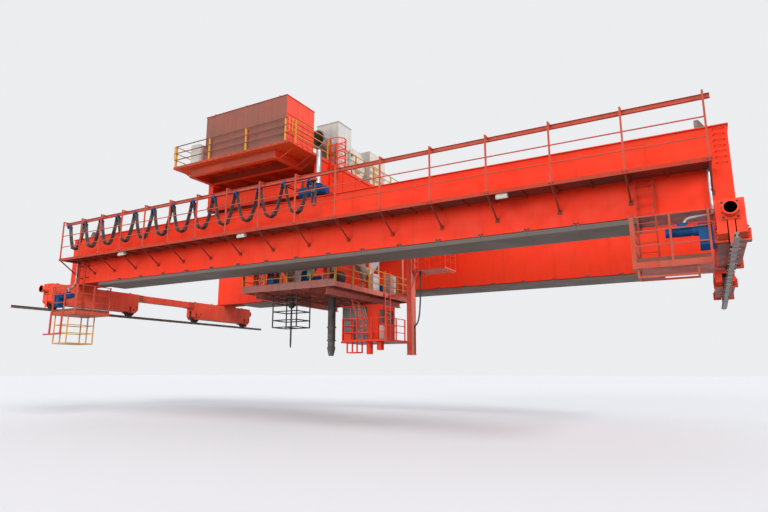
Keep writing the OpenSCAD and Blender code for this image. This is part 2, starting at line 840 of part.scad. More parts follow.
// A shaft-mounted gearbox at the origin with its finned motor pointing along X. The sizes are the
// gearbox's three, the share of its height below the shaft, and the motor's diameter and length.
module gear_motor(m) {
    box_x = m[0];
    box_y = m[1];
    box_h = m[2];
    below = m[3];
    motor_d = m[4];
    motor_l = m[5];
    motor_z = box_h - below - motor_d * 0.55;
    rise = box_y * 0.3;
    rotate([90, 0, 90])
        linear_extrude(box_x)
            polygon([[-box_y / 2, -below + rise], [-box_y / 2 + rise, -below], [box_y / 2 - rise, -below],
                [box_y / 2, -below + rise], [box_y / 2, box_h - below - rise / 2],
                [box_y / 2 - rise / 2, box_h - below], [-box_y / 2 + rise / 2, box_h - below],
                [-box_y / 2, box_h - below - rise / 2]]);
    translate([box_x - 1, 0, motor_z])
        rotate([0, 90, 0]) {
            cylinder(h = motor_l * 0.18, d = motor_d * 1.05, $fn = round_fn);
            cylinder(h = motor_l, d = motor_d * 0.84, $fn = round_fn);
            translate([0, 0, motor_l * 0.22])
                linear_extrude(motor_l * 0.5)
                    for (a = [0 : 180 / motor_fins : 179])
                        rotate(a) square([motor_d, fin_t], center = true);
            translate([0, 0, motor_l * 0.76]) cylinder(h = motor_l * 0.24, d = motor_d * 0.96, $fn = round_fn);
        }
    block([box_x + motor_l * 0.32, -motor_d * 0.3, motor_z + motor_d * 0.35],
        [box_x + motor_l * 0.62, motor_d * 0.3, motor_z + motor_d * 0.72]);
}

module trolley_frame() {
    lip = cross_lip;
    color(paint) {
        for (x = [deck_x0, deck_x1 - cross_w]) {
            block([x + lip, -cross_y + lip, cross_z0], [x + cross_w - lip, cross_y - lip, deck_z - deck_t]);
            for (z = [cross_z0, deck_z - deck_t - flange_t])
                block([x, -cross_y, z], [x + cross_w, cross_y, z + flange_t]);
        }
        for (s = [-1, 1])
            difference() {
                union() {
                    block([deck_x0, s * girder_y - sill_w / 2, sill_z0],
                        [deck_x1, s * girder_y + sill_w / 2, sill_z0 + sill_h]);
                    for (x = trolley_wheel_x)
                        block([x - trolley_bearing / 2, s * girder_y - sill_w / 2,
                            trolley_axle_z - trolley_bearing / 2],
                            [x + trolley_bearing / 2, s * girder_y + sill_w / 2, sill_z0 + 1]);
                }
                for (x = trolley_wheel_x) {
                    block([x - wheel_bay / 2, s * girder_y - trolley_slot / 2, girder_top],
                        [x + wheel_bay / 2, s * girder_y + trolley_slot / 2, trolley_axle_z + wheel_bay / 2]);
                    translate([x, s * girder_y + sill_w, trolley_axle_z])
                        rotate([90, 0, 0])
                            cylinder(h = 2 * sill_w, d = trolley_axle_d + 2 * gap, $fn = round_fn);
                }
            }
        for (y = tie_y)
            block([deck_x0 + cross_w - lip - 1, y - tie_w / 2, cross_z0],
                [deck_x1 - cross_w + lip + 1, y + tie_w / 2, cross_z0 + tie_h]);
        block([tow_x - 60, -girder_y - sill_w / 2, loop_top + 20],
            [tow_x + 60, -cable_y + 140, loop_top + 90]);
    }
}

module trolley_wheel(x, s) {
    color("dimgray")
        translate([x, s * girder_y, trolley_axle_z])
            rotate([90, 0, 0])
                wheel_shape(trolley_wheel_d, trolley_wheel_w, 25, 18, trolley_axle_d, sill_w);
}

module upper_deck() {
    under = deck_z - deck_t;
    edge = [deck_x0 + beam_inset[0], deck_x1 - beam_inset[1]];
    rows = [for (d = beam_rows) deck_y0 + d];
    bays = 5;
    foot = under - floor_beam_h + beam_flange_t / 2;
    color(paint) {
        block([deck_x0, deck_y0, under], [deck_x1, deck_y1, deck_z]);
        for (y = rows)
            beam_x(edge[0], edge[1], y, under, floor_beam_h, floor_beam_w);
        for (x = edge)
            beam_y(x, rows[0], -cross_y, under, floor_beam_h, floor_beam_w);
        for (i = [1 : bays - 1])
            for (k = [0, 1])
                translate([edge[0] + (edge[1] - edge[0]) * i / bays + rib_t / 2, rows[k], under])
                    rotate([0, -90, 0])
                        linear_extrude(rib_t)
                            polygon([[0, 0], [-floor_beam_h, 0], [-deck_t, rows[k + 1] - rows[k]],
                                [0, rows[k + 1] - rows[k]]]);
        for (y = [rows[0] + 150, rows[1], -cross_y - 150])
            bar([edge[1] + floor_beam_w / 2 - 20, y, foot], [deck_x1 - 120, y, under + 10], rod_d);
        for (y = [rows[0] + 150, rows[1]])
            bar([edge[0] - floor_beam_w / 2 + 20, y, foot], [deck_x0 + 120, y, under + 10], rod_d);
    }
}

module dust_box() {
    x1 = deck_x1 - dust_inset[0];
    x0 = x1 - dust_len;
    y0 = deck_y0 + dust_inset[1];
    y1 = y0 + dust_w;
    z1 = deck_z + dust_h;
    color("sienna") {
        block([x0, y0, deck_z], [x1, y1, z1]);
        block([x0 - cap_lip, y0 - cap_lip, z1 - 1], [x1 + cap_lip, y1 + cap_lip, z1 + cap_t]);
        for (k = [1 : dust_ribs]) {
            z = deck_z + dust_h * dust_rib_share * k / dust_ribs;
            for (x = [x0, x1])
                translate([x, y0 + 40, z])
                    rotate([-90, 0, 0]) cylinder(h = dust_w - 80, d = dust_rib_d, $fn = 6);
        }
        for (k = [1 : dust_strips]) {
            x = x0 + dust_len * k / (dust_strips + 1) - dust_strip[0] / 2;
            block([x, y0 - dust_strip[1], deck_z], [x + dust_strip[0], y1 + dust_strip[1], z1]);
        }
    }
}

// Railing panels of both decks, standing free of each other at the corners
module deck_railings() {
    e = post_t + corner;
    side = deck_x1 - 50;
    color("goldenrod") {
        railing_x(deck_x0 + 20, deck_x1 - 260, deck_y0 + 50, deck_z, 3);
        railing_y(deck_y0 + 450, deck_ladder_y - deck_ladder_w / 2 - 80, side, deck_z, 1);
        railing_y(deck_ladder_y + deck_ladder_w / 2 + 80, deck_y1 - 20 - e, side, deck_z, 6);
        railing_y(deck_y0 + 20 + e, deck_y1 - 20 - e, deck_x0 + 50, deck_z, 8);
        railing_x(deck_x0 + 20, deck_x1 - 20, deck_y1 - 50, deck_z, 5);
        railing_x(low_x0 + 10, low_x1 - 10, low_y0 + 40, low_z, 4);
        railing_y(low_y0 + 10 + e, low_y1 - 10 - e, low_x1 - 40, low_z, 5);
        railing_x(low_x0 + 10, low_x1 - 10, low_y1 - 40, low_z, 4);
        railing_y(low_y0 + 10 + e, low_y1 - 10 - e, low_x0 + 40, low_z, 5);
    }
}

module air_unit() {
    x0 = deck_x1 - 1500;
    x1 = deck_x1 - 150;
    skid = 90;
    color("lightgray") {
        block([x0 + cap_lip, air_y0, deck_z + skid], [x1, air_y1, deck_z + air_h]);
        block([x0, air_y0 - cap_lip, deck_z + air_h - 1],
            [x1 + cap_lip, air_y1, deck_z + air_h + cap_t]);
        for (y = [air_y0 + 100, air_y1 - 200])
            block([x0 + cap_lip, y, deck_z], [x1, y + 100, deck_z + skid + 1]);
    }
}

// Radius of the fan's scroll at an angle from its tongue
function scroll_r(a) = fan_r * (0.62 + 0.38 * a / 360);

// Fan casing beside the air unit and the round inlet in front of it
module blower() {
    x = deck_x1 - 750;
    y = air_y1 + gap + fan_r + 220;
    z = deck_z + fan_r * 0.62 + 330;
    color("wheat") {
        translate([x - fan_w / 2, y, z])
            rotate([90, 0, 90])
                linear_extrude(fan_w)
                    polygon(concat([for (a = [15 : 15 : 345]) scroll_r(a) * [cos(90 + a), sin(90 + a)]],
                        [[0, fan_r], [-(y - air_y1) + gap, fan_r], [-(y - air_y1) + gap, fan_r * 0.62]]));
        translate([x + fan_w / 2 - 1, y, z])
            rotate([0, 90, 0]) cylinder(h = 120, d1 = fan_r, d2 = fan_r * 0.8, $fn = 48);
        block([x - 250, y - 450, deck_z], [x + 250, y + 450, z - fan_r * 0.5]);
    }
}

module air_ducts() {
    pipe_y = -6500;
    color("silver") {
        translate([duct_x, air_y0 - gap, duct_z])
            rotate([90, 0, 0])
                difference() {
                    union() {
                        cylinder(h = duct_len, d = duct_d, $fn = 48);
                        translate([0, 0, duct_len - 50]) cylinder(h = 50, d = duct_d + 80, $fn = 48);
                        cylinder(h = 40, d = duct_d + 80, $fn = 48);
                    }
                    translate([0, 0, 300]) cylinder(h = duct_len, d = duct_d - 40, $fn = 48);
                }
        block([duct_x - 40, air_y0 - 1200, deck_z], [duct_x + 40, air_y0 - 1100, duct_z - duct_d / 2 + 2]);
    }
    color("gainsboro")
        translate([deck_x1 + 130, pipe_y, vent_z])
            cylinder(h = vent_h, d = vent_d, $fn = round_fn);
    color("gray")
        block([deck_x1 + gap, pipe_y - 50, deck_z - 100], [deck_x1 + 60, pipe_y + 50, deck_z - 40]);
}

module caged_ladder() {
    x = deck_x1 + 60;
    y = deck_ladder_y;
    half = deck_ladder_w / 2;
    reach = hoop_reach;
    hoop_z = [for (k = [-1 : 3]) deck_z + k * hoop_pitch];
    color(paint) {
        ladder_y(x, y, girder_top + 460, deck_z + hand_h, deck_ladder_w);
        for (z = hoop_z) {
            translate([x, y, z])
                difference() {
                    union() {
                        translate([reach, 0, 0]) cylinder(h = stay_w, d = hoop_d, $fn = round_fn);
                        block([-20, -hoop_d / 2, 0], [reach, hoop_d / 2, stay_w]);
                    }
                    block([-hoop_d, -hoop_d, -1], [-20, hoop_d, stay_w + 1]);
                    translate([reach, 0, -1])
                        cylinder(h = stay_w + 2, d = hoop_d - 2 * hoop_bar, $fn = round_fn);
                    block([-40, -hoop_d / 2 + hoop_bar, -1], [reach, hoop_d / 2 - hoop_bar, stay_w + 1]);
                }
            for (e = [-1, 1])
                block([x - 20, y + e * (half + 20), z], [x + 20, y + e * hoop_d / 2, z + 40]);
        }
        for (a = [-60 : 30 : 60])
            translate([x + reach + (hoop_d - hoop_bar) / 2 * cos(a), y + (hoop_d - hoop_bar) / 2 * sin(a),
                hoop_z[0]])
                cylinder(h = 4 * hoop_pitch + stay_w, d = hoop_bar, $fn = 6);
        for (z = [deck_z - 90, cross_z0])
            for (e = [-1, 1])
                block([deck_x1, y + e * half - 20, z], [x - 19, y + e * half + 20, z + 40]);
    }
}

module cabinets() {
    color("lightgray")
        for (c = cabinet_set)
            translate(c[0]) cube(c[1]);
}

module trolley_drives() {
    for (s = [-1, 1]) trolley_drive(s);
}

module trolley_drive(s) {
    color("royalblue")
        translate([trolley_wheel_x[1], s * (girder_y + sill_w / 2 + gap), trolley_axle_z])
            mirror([0, s > 0 ? 1 : 0, 0])
                translate([-trolley_motor[1] / 2, -trolley_motor[1] / 2, 0]) gear_motor(trolley_motor);
}

module hanger_columns() {
    half = column_w / 2;
    plate = half + 70;
    color(paint)
        for (c = columns) {
            block([c[0] - half, c[1] - half, low_z], [c[0] + half, c[1] + half, cross_z0]);
            for (z = [low_z, cross_z0 - foot_t])
                block([c[0] - plate, c[1] - plate, z], [c[0] + plate, c[1] + plate, z + foot_t]);
        }
    color(paint)
        bar([columns[1][0] - half + 10, columns[1][1], low_z + 1600],
            [columns[1][0] - 1100, columns[1][1], low_z + 17], 90, 4);
}

module lower_deck() {
    floor_z = low_z - low_t;
    frame_top = floor_z - gap;
    inner = [low_x0 + low_side, low_x1 - low_side];
    guide_bay = floor((suction[1] - rib_y(0)) / low_pitch);
    bay0 = rib_y(guide_bay);
    bay1 = rib_y(guide_bay + 1);
    hole = (guide_d + guide_hole) / 2;
    color(paint) {
        block([low_x0, low_y0, floor_z], [low_x1, bay0, low_z]);
        block([low_x0, bay1, floor_z], [low_x1, low_y1, low_z]);
        block([low_x0, bay0 + gap, floor_z], [suction[0] - hole, bay1 - gap, low_z]);
        block([suction[0] + hole, bay0 + gap, floor_z], [low_x1, bay1 - gap, low_z]);
        for (m = [[bay0 + gap, suction[1] - hole], [suction[1] + hole, bay1 - gap]])
            block([suction[0] - hole + gap, m[0], floor_z], [suction[0] + hole - gap, m[1], low_z]);
        for (m = [[low_y0, low_y0 + low_side - gap], [low_y1 - low_side + gap, low_y1]])
            block([low_x0, m[0], low_under], [low_x1, m[1], frame_top]);
        for (m = [[low_x0, low_x0 + low_side - gap], [low_x1 - low_side + gap, low_x1]])
            block([m[0], rib_y(0), low_under], [m[1], low_y1 - low_side, frame_top]);
        for (k = [0 : low_bays - 1])
            if (k == guide_bay) {
                rib_comb(inner[0], suction[0] - hole - 60, rib_y(k), frame_top, 2);
                rib_comb(suction[0] + hole + 60, inner[1], rib_y(k), frame_top, 2);
            } else {
                rib_comb(inner[0], inner[1], rib_y(k), frame_top, 5);
            }
        for (x = [low_x0 + 700, low_x1 - 700])
            beam_y(x, low_y0 + 300, low_y1 - 100, low_under - gap, low_main_h, low_main_w);
    }
}

// A floor rib along X with short plates that reach towards the next rib
module rib_comb(x0, x1, y, top, plates) {
    block([x0, y, low_under], [x1, y + rib_t, top]);
    for (i = [0 : plates])
        block([x0 + (x1 - x0 - rib_t) * i / plates, y, low_under + 40],
            [x0 + (x1 - x0 - rib_t) * i / plates + rib_t, y + low_pitch - gap, top]);
}

module hopper(at, r) {
    cone = r * 1.3;
    color("gray")
        translate(at) {
            rotate_extrude($fn = round_fn)
                polygon([[0, -60], [r * 0.38, -60], [r * 0.38, -30], [r * 0.25, -30], [r * 0.25, 0],
                    [r, cone], [r, cone * 1.9], [r + 40, cone * 1.9], [r + 40, cone * 1.9 + 50],
                    [r * 0.7, cone * 2.05], [r * 0.3, cone * 2.12], [0, cone * 2.12]]);
            for (a = [45 : 90 : 315])
                rotate([0, 0, a])
                    translate([r - 50, 0, 0]) block([-30, -30, low_z - at[2]], [30, 30, cone * 1.1]);
        }
}

module hoppers() {
    for (at = hopper_at) hopper(at, hopper_r);
}

module deck_machinery() {
    r = vessel_d / 2;
    color("white")
        translate([vessel_at[0], vessel_at[1], low_z])
            rotate_extrude($fn = round_fn)
                polygon([[0, 0], [r * 0.8, 0], [r * 0.8, 80], [r, 160], [r, vessel_h - 180],
                    [r * 0.86, vessel_h - 60], [r * 0.5, vessel_h], [0, vessel_h]]);
    color("royalblue")
        translate([pump_at[0], pump_at[1], low_z + 250])
            rotate([0, 0, 90]) gear_motor(pump_motor);
}

module cab_shell() {
    x0 = cab_x0;
    x1 = cab_x1;
    y0 = cab_y0;
    y1 = cab_y0 + cab_w;
    solid = cab_x1 - cab_solid;
    mid = cab_x0 + cab_bay;
    color(paint) {
        block([x0, y0, cab_z0], [x1, y1, cab_z0 + cab_slab]);
        block([x0 - cap_lip, y0 - cap_lip, cab_z1 - cab_slab], [x1, y1 + cap_lip, cab_z1]);
        for (y = [y0, y1 - cab_t]) {
            for (x = [x0, mid])
                block([x, y, cab_z0], [x + cab_t, y + cab_t, cab_z1]);
            block([x0, y, cab_rail_z], [solid + 1, y + cab_t, cab_rail_z + cab_bar]);
            block([x0, y, cab_z0], [mid + 1, y + cab_t, cab_sill_z]);
            block([solid, y, cab_z0], [x1, y + cab_t, cab_z1]);
        }
        block([x0, y0, cab_rail_z], [x0 + cab_t, y1, cab_rail_z + cab_bar]);
        block([x0, (y0 + y1) / 2 - cab_bar / 2, cab_z0], [x0 + cab_t, (y0 + y1) / 2 + cab_bar / 2, cab_z1]);
        difference() {
            block([x1 - cab_t, y0, cab_z0], [x1, y1, cab_z1]);
            for (w = cab_windows)
                block([x1 - cab_t - 1, y0 + w[0], cab_z0 + w[2]], [x1 + 1, y0 + w[1], cab_z0 + w[3]]);
        }
        block([x1, y0 + cab_door[0], cab_z0 + cab_slab],
            [x1 + door_t, y0 + cab_door[1], cab_z0 + cab_windows[0][2] - 60]);
        for (x = [x0 + 300, x1 - 1100])
            for (k = [4, 5])
                block([x, rib_y(k) - 40, cab_z1 - 1], [x + 100, rib_y(k) + 60, low_under - gap]);
    }
}

module cab_glass() {
    x0 = cab_x0;
    y0 = cab_y0;
    y1 = cab_y0 + cab_w;
    solid = cab_x1 - cab_solid;
    mid = cab_x0 + cab_bay;
    half = (y0 + y1) / 2;
    z0 = cab_z0 + cab_slab + gap;
    z1 = cab_z1 - cab_slab - gap;
    low = cab_rail_z - gap;
    high = cab_rail_z + cab_bar + gap;
    inset = (cab_t - glass_t) / 2;
    color("lightblue") {
        for (y = [y0 + inset, y1 - inset - glass_t]) {
            block([x0 + cab_t + gap, y, cab_sill_z + gap], [mid - gap, y + glass_t, low]);
            block([x0 + cab_t + gap, y, high], [mid - gap, y + glass_t, z1]);
            block([mid + cab_t + gap, y, z0], [solid - gap, y + glass_t, low]);
            block([mid + cab_t + gap, y, high], [solid - gap, y + glass_t, z1]);
        }
        for (w = [[y0 + cab_t, half - cab_bar / 2], [half + cab_bar / 2, y1 - cab_t]])
            for (h = [[z0, low], [high, z1]])
                block([x0 + inset, w[0] + gap, h[0]], [x0 + inset + glass_t, w[1] - gap, h[1]]);
        for (w = cab_windows)
            block([cab_x1 - inset - glass_t, y0 + w[0] + gap, cab_z0 + w[2] + gap],
                [cab_x1 - inset, y0 + w[1] - gap, cab_z0 + w[3] - gap]);
    }
}

module cab_platform() {
    under = stage_z - stage_t;
    z = under - gap;
    x0 = stage_front + rack[0];
    x1 = x0 + rack[2];
    y0 = stage_y0 + rack[1];
    y1 = y0 + rack[3];
    color(paint) {
        translate([0, 0, under])
            linear_extrude(stage_t)
                polygon([[stage_x0, stage_y1], [stage_x0, cab_y0 - 40], [stage_front, cab_y0 - 40],
                    [stage_front, stage_y0], [stage_x1, stage_y0], [stage_x1, stage_y1]]);
    }
    color("brown") {
        for (x = [x0, x1 - rack_bar]) {
            for (y = [y0, y1 - rack_bar])
                block([x, y, z - rack_h], [x + rack_bar, y + rack_bar, z]);
            block([x, y0, z - rack_h], [x + rack_bar, y1, z - rack_h + rack_bar]);
        }
        for (y = [y0, y1 - rack_bar])
            block([x0, y, z - rack_h], [x1, y + rack_bar, z - rack_h + rack_bar]);
        translate([stage_front + drum[0], stage_y0 + drum[1], z - drum[2]])
            cylinder(h = drum[2], d = drum[3], $fn = round_fn);
        translate([stage_front + stage_box_at[0], stage_y0 + stage_box_at[1], z - stage_box[2]])
            cube(stage_box);
    }
}

// Railing panels round the cab platform and the mast's basket
module cab_railings() {
    e = post_t + corner;
    x0 = mast_x0 + mast_x + 100;
    color("red") {
        railing_x(stage_front, stage_x1, stage_y0 + post_t / 2, stage_z, 3);
        railing_y(stage_y0 + e, cab_y0 - 60, stage_front + post_t / 2, stage_z, 1);
        railing_y(stage_y0 + e, mast_y0 - 50, stage_x1 - post_t / 2, stage_z, 2);
        railing_x(x0, x0 + basket_x, mast_y0 + 30, basket_z, 2);
        railing_x(x0, x0 + basket_x, mast_y0 + basket_y - 30, basket_z, 2);
        railing_y(mast_y0 + e, mast_y0 + basket_y - e, x0 + basket_x - 30, basket_z, 2);
    }
}

module cab_stairs() {
    x0 = cab_x0 + stairs_x;
    run = stairs_run;
    z1 = low_under - gap;
    fall = z1 - stage_z;
    rail = stairs_hand;
    ladder_at = [low_x1 + 130, cab_y0 + 850];
    color(paint) {
        for (y = stairs_y) {
            bar([x0, y, z1], [x0 + run, y, stage_z + 11], stringer, 4);
            bar([x0 + run * 0.6, y, z1 - fall * 0.6 + rail], [x0 + run, y, stage_z + rail], bar_t);
            for (u = [0.62, 0.98])
                bar([x0 + run * u, y, z1 - fall * u], [x0 + run * u, y, z1 - fall * u + rail], bar_t);
        }
        for (k = [1 : stair_treads]) {
            u = k / (stair_treads + 1);
            block([x0 + run * u - tread[0] / 2, stairs_y[0], z1 - fall * u - tread[1] / 2],
                [x0 + run * u + tread[0] / 2, stairs_y[1], z1 - fall * u + tread[1] / 2]);
        }
        ladder_y(ladder_at[0], ladder_at[1], stage_z, low_z + 1150);
        for (e = [-1, 1])
            block([low_x1 + gap, ladder_at[1] + e * 275 - 20, low_z - 200],
                [ladder_at[0] - 10, ladder_at[1] + e * 275 + 20, low_z - 150]);
    }
}

module suction_guide() {
    color("gray")
        translate([suction[0], suction[1], 0])
            difference() {
                union() {
                    translate([0, 0, guide_z0])
                        cylinder(h = guide_z1 - guide_z0, d = guide_d, $fn = 48);
                    for (z = [guide_z0, guide_z0 + 700, low_z, guide_z1 - 60])
                        translate([0, 0, z]) cylinder(h = 60, d = guide_d + 80, $fn = 48);
                }
                translate([0, 0, guide_z0 - 1])
                    cylinder(h = guide_z1 - guide_z0 + 2, d = guide_d - 2 * pipe_t, $fn = 48);
            }
}

// The sliding pipe with its flared nozzle and two wear rings
module suction_pipe() {
    r = guide_d / 2 - pipe_t - pipe_gap;
    z0 = guide_z0 - 350;
    z1 = z0 + slider_len;
    ring = guide_d / 2 - pipe_t - gap;
    color("gray")
        translate([suction[0], suction[1], 0])
            rotate_extrude($fn = 48)
                polygon([[r - 60, z0 - 450], [r + 30, z0 - 60], [r + 30, z0], [r, z0 + 60],
                    [r, z1 - 1360], [ring, z1 - 1360], [ring, z1 - 1300], [r, z1 - 1300],
                    [r, z1 - 60], [ring, z1 - 60], [ring, z1], [r - pipe_t, z1],
                    [r - pipe_t, z0 + 60], [r + 30 - pipe_t, z0 - 3], [r + 30 - pipe_t, z0 - 57],
                    [r - 60 - pipe_t, z0 - 450]]);
}

module service_mast() {
    x1 = mast_x0 + mast_x;
    floor_x = x1 + 100;
    rung_y = mast_y0 + mast_y / 2 + 60;
    low_arm = low_z - 220;
    color(paint) {
        block([mast_x0, mast_y0, mast_z0], [x1, mast_y0 + mast_y, mast_top]);
        block([mast_x0 - 30, mast_y0 - 30, mast_z0], [x1 + 30, mast_y0 + mast_y + 30, mast_z0 + foot_t]);
        block([deck_x1 + gap, mast_y0 + 50, cross_z0 + 20], [x1, mast_y0 + mast_y - 50, cross_z0 + 320]);
        block([low_x1 + gap, mast_y0 + 170, low_arm], [mast_x0 + 1, mast_y0 + 320, low_arm + 160]);
        block([floor_x, mast_y0, basket_z - basket_t], [floor_x + basket_x, mast_y0 + basket_y, basket_z]);
        block([x1 - 1, mast_y0 + 40, basket_z - basket_t], [floor_x + 1, mast_y0 + mast_y - 40, basket_z]);
        for (y = [mast_y0 + 60, mast_y0 + mast_y - 60]) {
            bar([x1 - 20, y, basket_z - 1050], [x1 + 330, y, basket_z - 90], 60, 4);
            block([x1 + 290, y - 30, basket_z - 130], [x1 + 370, y + 30, basket_z - basket_t + 1]);
        }
        for (x = [floor_x + 100, floor_x + basket_x - 100])
            block([x - 30, mast_y0, basket_z - basket_t - 60],
                [x + 30, mast_y0 + basket_y, basket_z - basket_t]);
    }
    color("red") {
        ladder_y(x1 + 130, rung_y, basket_z - 1, mast_top - 50, 400);
        for (z = [basket_z + 900, basket_z + 2200, mast_top - 150])
            for (e = [-1, 1])
                block([x1 - 1, rung_y + e * 200 - 20, z], [x1 + 131, rung_y + e * 200 + 20, z + 40]);
    }
}

module tool_cage() {
    z1 = low_under - gap;
    z0 = z1 - tool_h;
    x0 = tool_x;
    x1 = tool_x + tool_w;
    y0 = tool_y;
    y1 = tool_y + tool_d;
    mid = [(x0 + x1) / 2, (y0 + y1) / 2];
    b = tool_bar;
    color("brown") {
        for (x = [x0, x1 - b])
            for (y = [y0, y1 - b])
                block([x, y, z0], [x + b, y + b, z1]);
        for (u = tool_rings) {
            for (y = [y0, y1 - b])
                block([x0, y, z0 + tool_h * u], [x1, y + b, z0 + tool_h * u + b]);
            for (x = [x0, x1 - b])
                block([x, y0, z0 + tool_h * u], [x + b, y1, z0 + tool_h * u + b]);
        }
        for (u = [tool_rings[0], tool_rings[4]])
            block([mid[0] - b / 2, y0, z0 + tool_h * u], [mid[0] + b / 2, y1, z0 + tool_h * u + b]);
        translate([mid[0], mid[1], 0]) tool_shape(z0 - tool_reach, z1);
    }
}

// The crust tool inside the cage: a stepped head on a long rod
module tool_shape(z0, z1) {
    head = z1 - 640;
    rotate_extrude($fn = round_fn)
        polygon([[0, z0], [25, z0], [tool_rod_r, z0 + 160], [tool_rod_r, head - 60], [150, head - 20],
            [150, head + 40], [230, head + 60], [230, head + 150], [140, head + 170], [140, head + 420],
            [200, head + 440], [200, z1 - 150], [90, z1 - 120], [90, z1], [0, z1]]);
}

hose_route = [[19500, 300, 1890], [19500, 300, 1500], [19490, 300, 1000], [19470, 300, 500],
    [19440, 300, 0], [19400, 300, -400], [19340, 300, -700], [19250, 300, -900], [19150, 300, -1000]];

function lerp_dir(p, i) = i == 0 ? p[1] - p[0] : i == len(p) - 1 ? p[i] - p[i - 1] : p[i + 1] - p[i - 1];
function unit(v) = v / norm(v);

// A round cord through a list of points that lie in one X-Z plane
module cord(p, d, sides = 8) {
    pts = [for (i = [0 : len(p) - 1]) let (t = unit(lerp_dir(p, i)), u = [0, 1, 0], w = cross(t, u))
        for (k = [0 : sides - 1]) p[i] + d / 2 * (cos(360 * k / sides) * u + sin(360 * k / sides) * w)];
    n = len(p);
    polyhedron(pts, concat([[for (k = [0 : sides - 1]) k]],
        [[for (k = [0 : sides - 1]) n * sides - 1 - k]],
        [for (i = [0 : n - 2]) for (k = [0 : sides - 1])
            let (a = i * sides, b = (k + 1) % sides) [a + k, a + sides + k, a + sides + b, a + b]]));
}

module mast_hose() {
    color("black") cord(hose_route, 80);
}

// Height of a cable loop at the share u of its width
function sag(u) = loop_depth * (1 - pow(abs(2 * u - 1), 2.4));

// Cable carrier number k with the loop that reaches it from its left
module festoon(k) {
    x1 = loop_x0 + k * loop_pitch;
    x0 = x1 - loop_pitch + carrier_len / 2 + 5;
    xe = x1 - carrier_len / 2 + 20;
    y = -cable_y;
    color("black")
        translate([0, y + bundle_w / 2, loop_top])
            rotate([90, 0, 0])
                linear_extrude(bundle_w)
                    polygon(concat(
                        [for (i = [0 : loop_steps]) let (u = i / loop_steps)
                            [x0 + (xe - x0) * u, -sag(u)]],
                        [for (i = [loop_steps : -1 : 0]) let (u = i / loop_steps)
                            [x0 + bundle_t + (xe - x0 - 2 * bundle_t) * u, bundle_t - sag(u) * (1 - 0.001)]]));
    color("royalblue")
        translate([x1, y, 0]) carrier_shape();
}

// A cable carrier: rollers on the I-beam's lower flange, side plates and a round saddle
module carrier_shape() {
    plate = cable_rail_w / 2 + 6;
    roller_z = cable_z + cable_rail_t + gap + roller_d / 2;
    for (s = [-1, 1]) {
        block([-carrier_len / 2 + 10, s * plate, loop_top + 40],
            [carrier_len / 2 - 10, s * (plate + plate_t), roller_z + roller_d / 2]);
        for (e = [-1, 1])
            translate([e * (carrier_len / 2 - 40), s * (cable_rail_web / 2 + 8), roller_z])
                rotate([s * -90, 0, 0]) {
                    cylinder(h = plate - cable_rail_web / 2 - 12, d = roller_d, $fn = roller_fn);
                    cylinder(h = plate - cable_rail_web / 2 + plate_t, d = roller_d / 3, $fn = roller_fn);
                }
    }
    translate([0, bundle_w / 2, loop_top])
        rotate([90, 0, 0])
            linear_extrude(bundle_w)
                intersection() {
                    circle(d = carrier_len, $fn = round_fn);
                    translate([-carrier_len / 2, 0]) square([carrier_len, carrier_len / 2]);
                }
}

runway_rails();
girder(-1);  // girder_near
girder(1);  // girder_far
trolley_rails();
heat_shields();
end_trucks();
walkway_near();
walkway_far();
festoon_frame();
bridge_railings();
drive_platforms();
bridge_drives();
service_cage();
for (i = [0 : 3]) {
    runway_wheel(0, runway_y[i]);
    runway_wheel(span, runway_y[i]);
}
trolley_frame();
upper_deck();
dust_box();
deck_railings();
air_unit();
blower();
air_ducts();
caged_ladder();
cabinets();
trolley_drives();
hanger_columns();
lower_deck();
hoppers();
deck_machinery();
cab_shell();
cab_glass();
cab_platform();
cab_railings();
cab_stairs();
suction_guide();
service_mast();
mast_hose();
tool_cage();
suction_pipe();
for (i = [0 : 1]) {
    trolley_wheel(trolley_wheel_x[i], -1);
    trolley_wheel(trolley_wheel_x[i], 1);
}
for (i = [1 : loops])
    festoon(i);
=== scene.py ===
# Dresses the overhead bridge crane: finishes, festoon cables, fittings and a plain studio.
import math

import bmesh
import bpy
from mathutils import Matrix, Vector


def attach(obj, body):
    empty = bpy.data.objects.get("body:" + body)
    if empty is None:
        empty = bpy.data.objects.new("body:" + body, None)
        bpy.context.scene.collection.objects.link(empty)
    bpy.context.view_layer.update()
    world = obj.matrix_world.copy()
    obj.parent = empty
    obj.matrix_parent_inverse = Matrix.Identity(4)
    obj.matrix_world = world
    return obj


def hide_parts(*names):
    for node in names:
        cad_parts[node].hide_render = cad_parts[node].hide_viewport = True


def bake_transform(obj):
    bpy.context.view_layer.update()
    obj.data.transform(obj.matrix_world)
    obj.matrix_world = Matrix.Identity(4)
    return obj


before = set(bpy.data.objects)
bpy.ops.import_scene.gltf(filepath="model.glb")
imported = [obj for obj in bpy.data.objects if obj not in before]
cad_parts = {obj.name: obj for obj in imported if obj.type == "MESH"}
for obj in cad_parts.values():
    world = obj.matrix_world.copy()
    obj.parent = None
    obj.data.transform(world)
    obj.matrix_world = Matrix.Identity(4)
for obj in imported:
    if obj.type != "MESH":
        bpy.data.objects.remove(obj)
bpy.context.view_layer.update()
print("frame loaded:", len(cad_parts), "nodes")

# The camera first: the photograph's frame is 768 x 512 pixels.
view = {
    "width": 768,
    "focalPixels": 573.6,
    "sensor": 36.0,
    "farthest": 1000,
    "place": (32.6, -27.05, -3.40),
    "turnLeft": 29.3,
    "lookUp": 11.43,
}


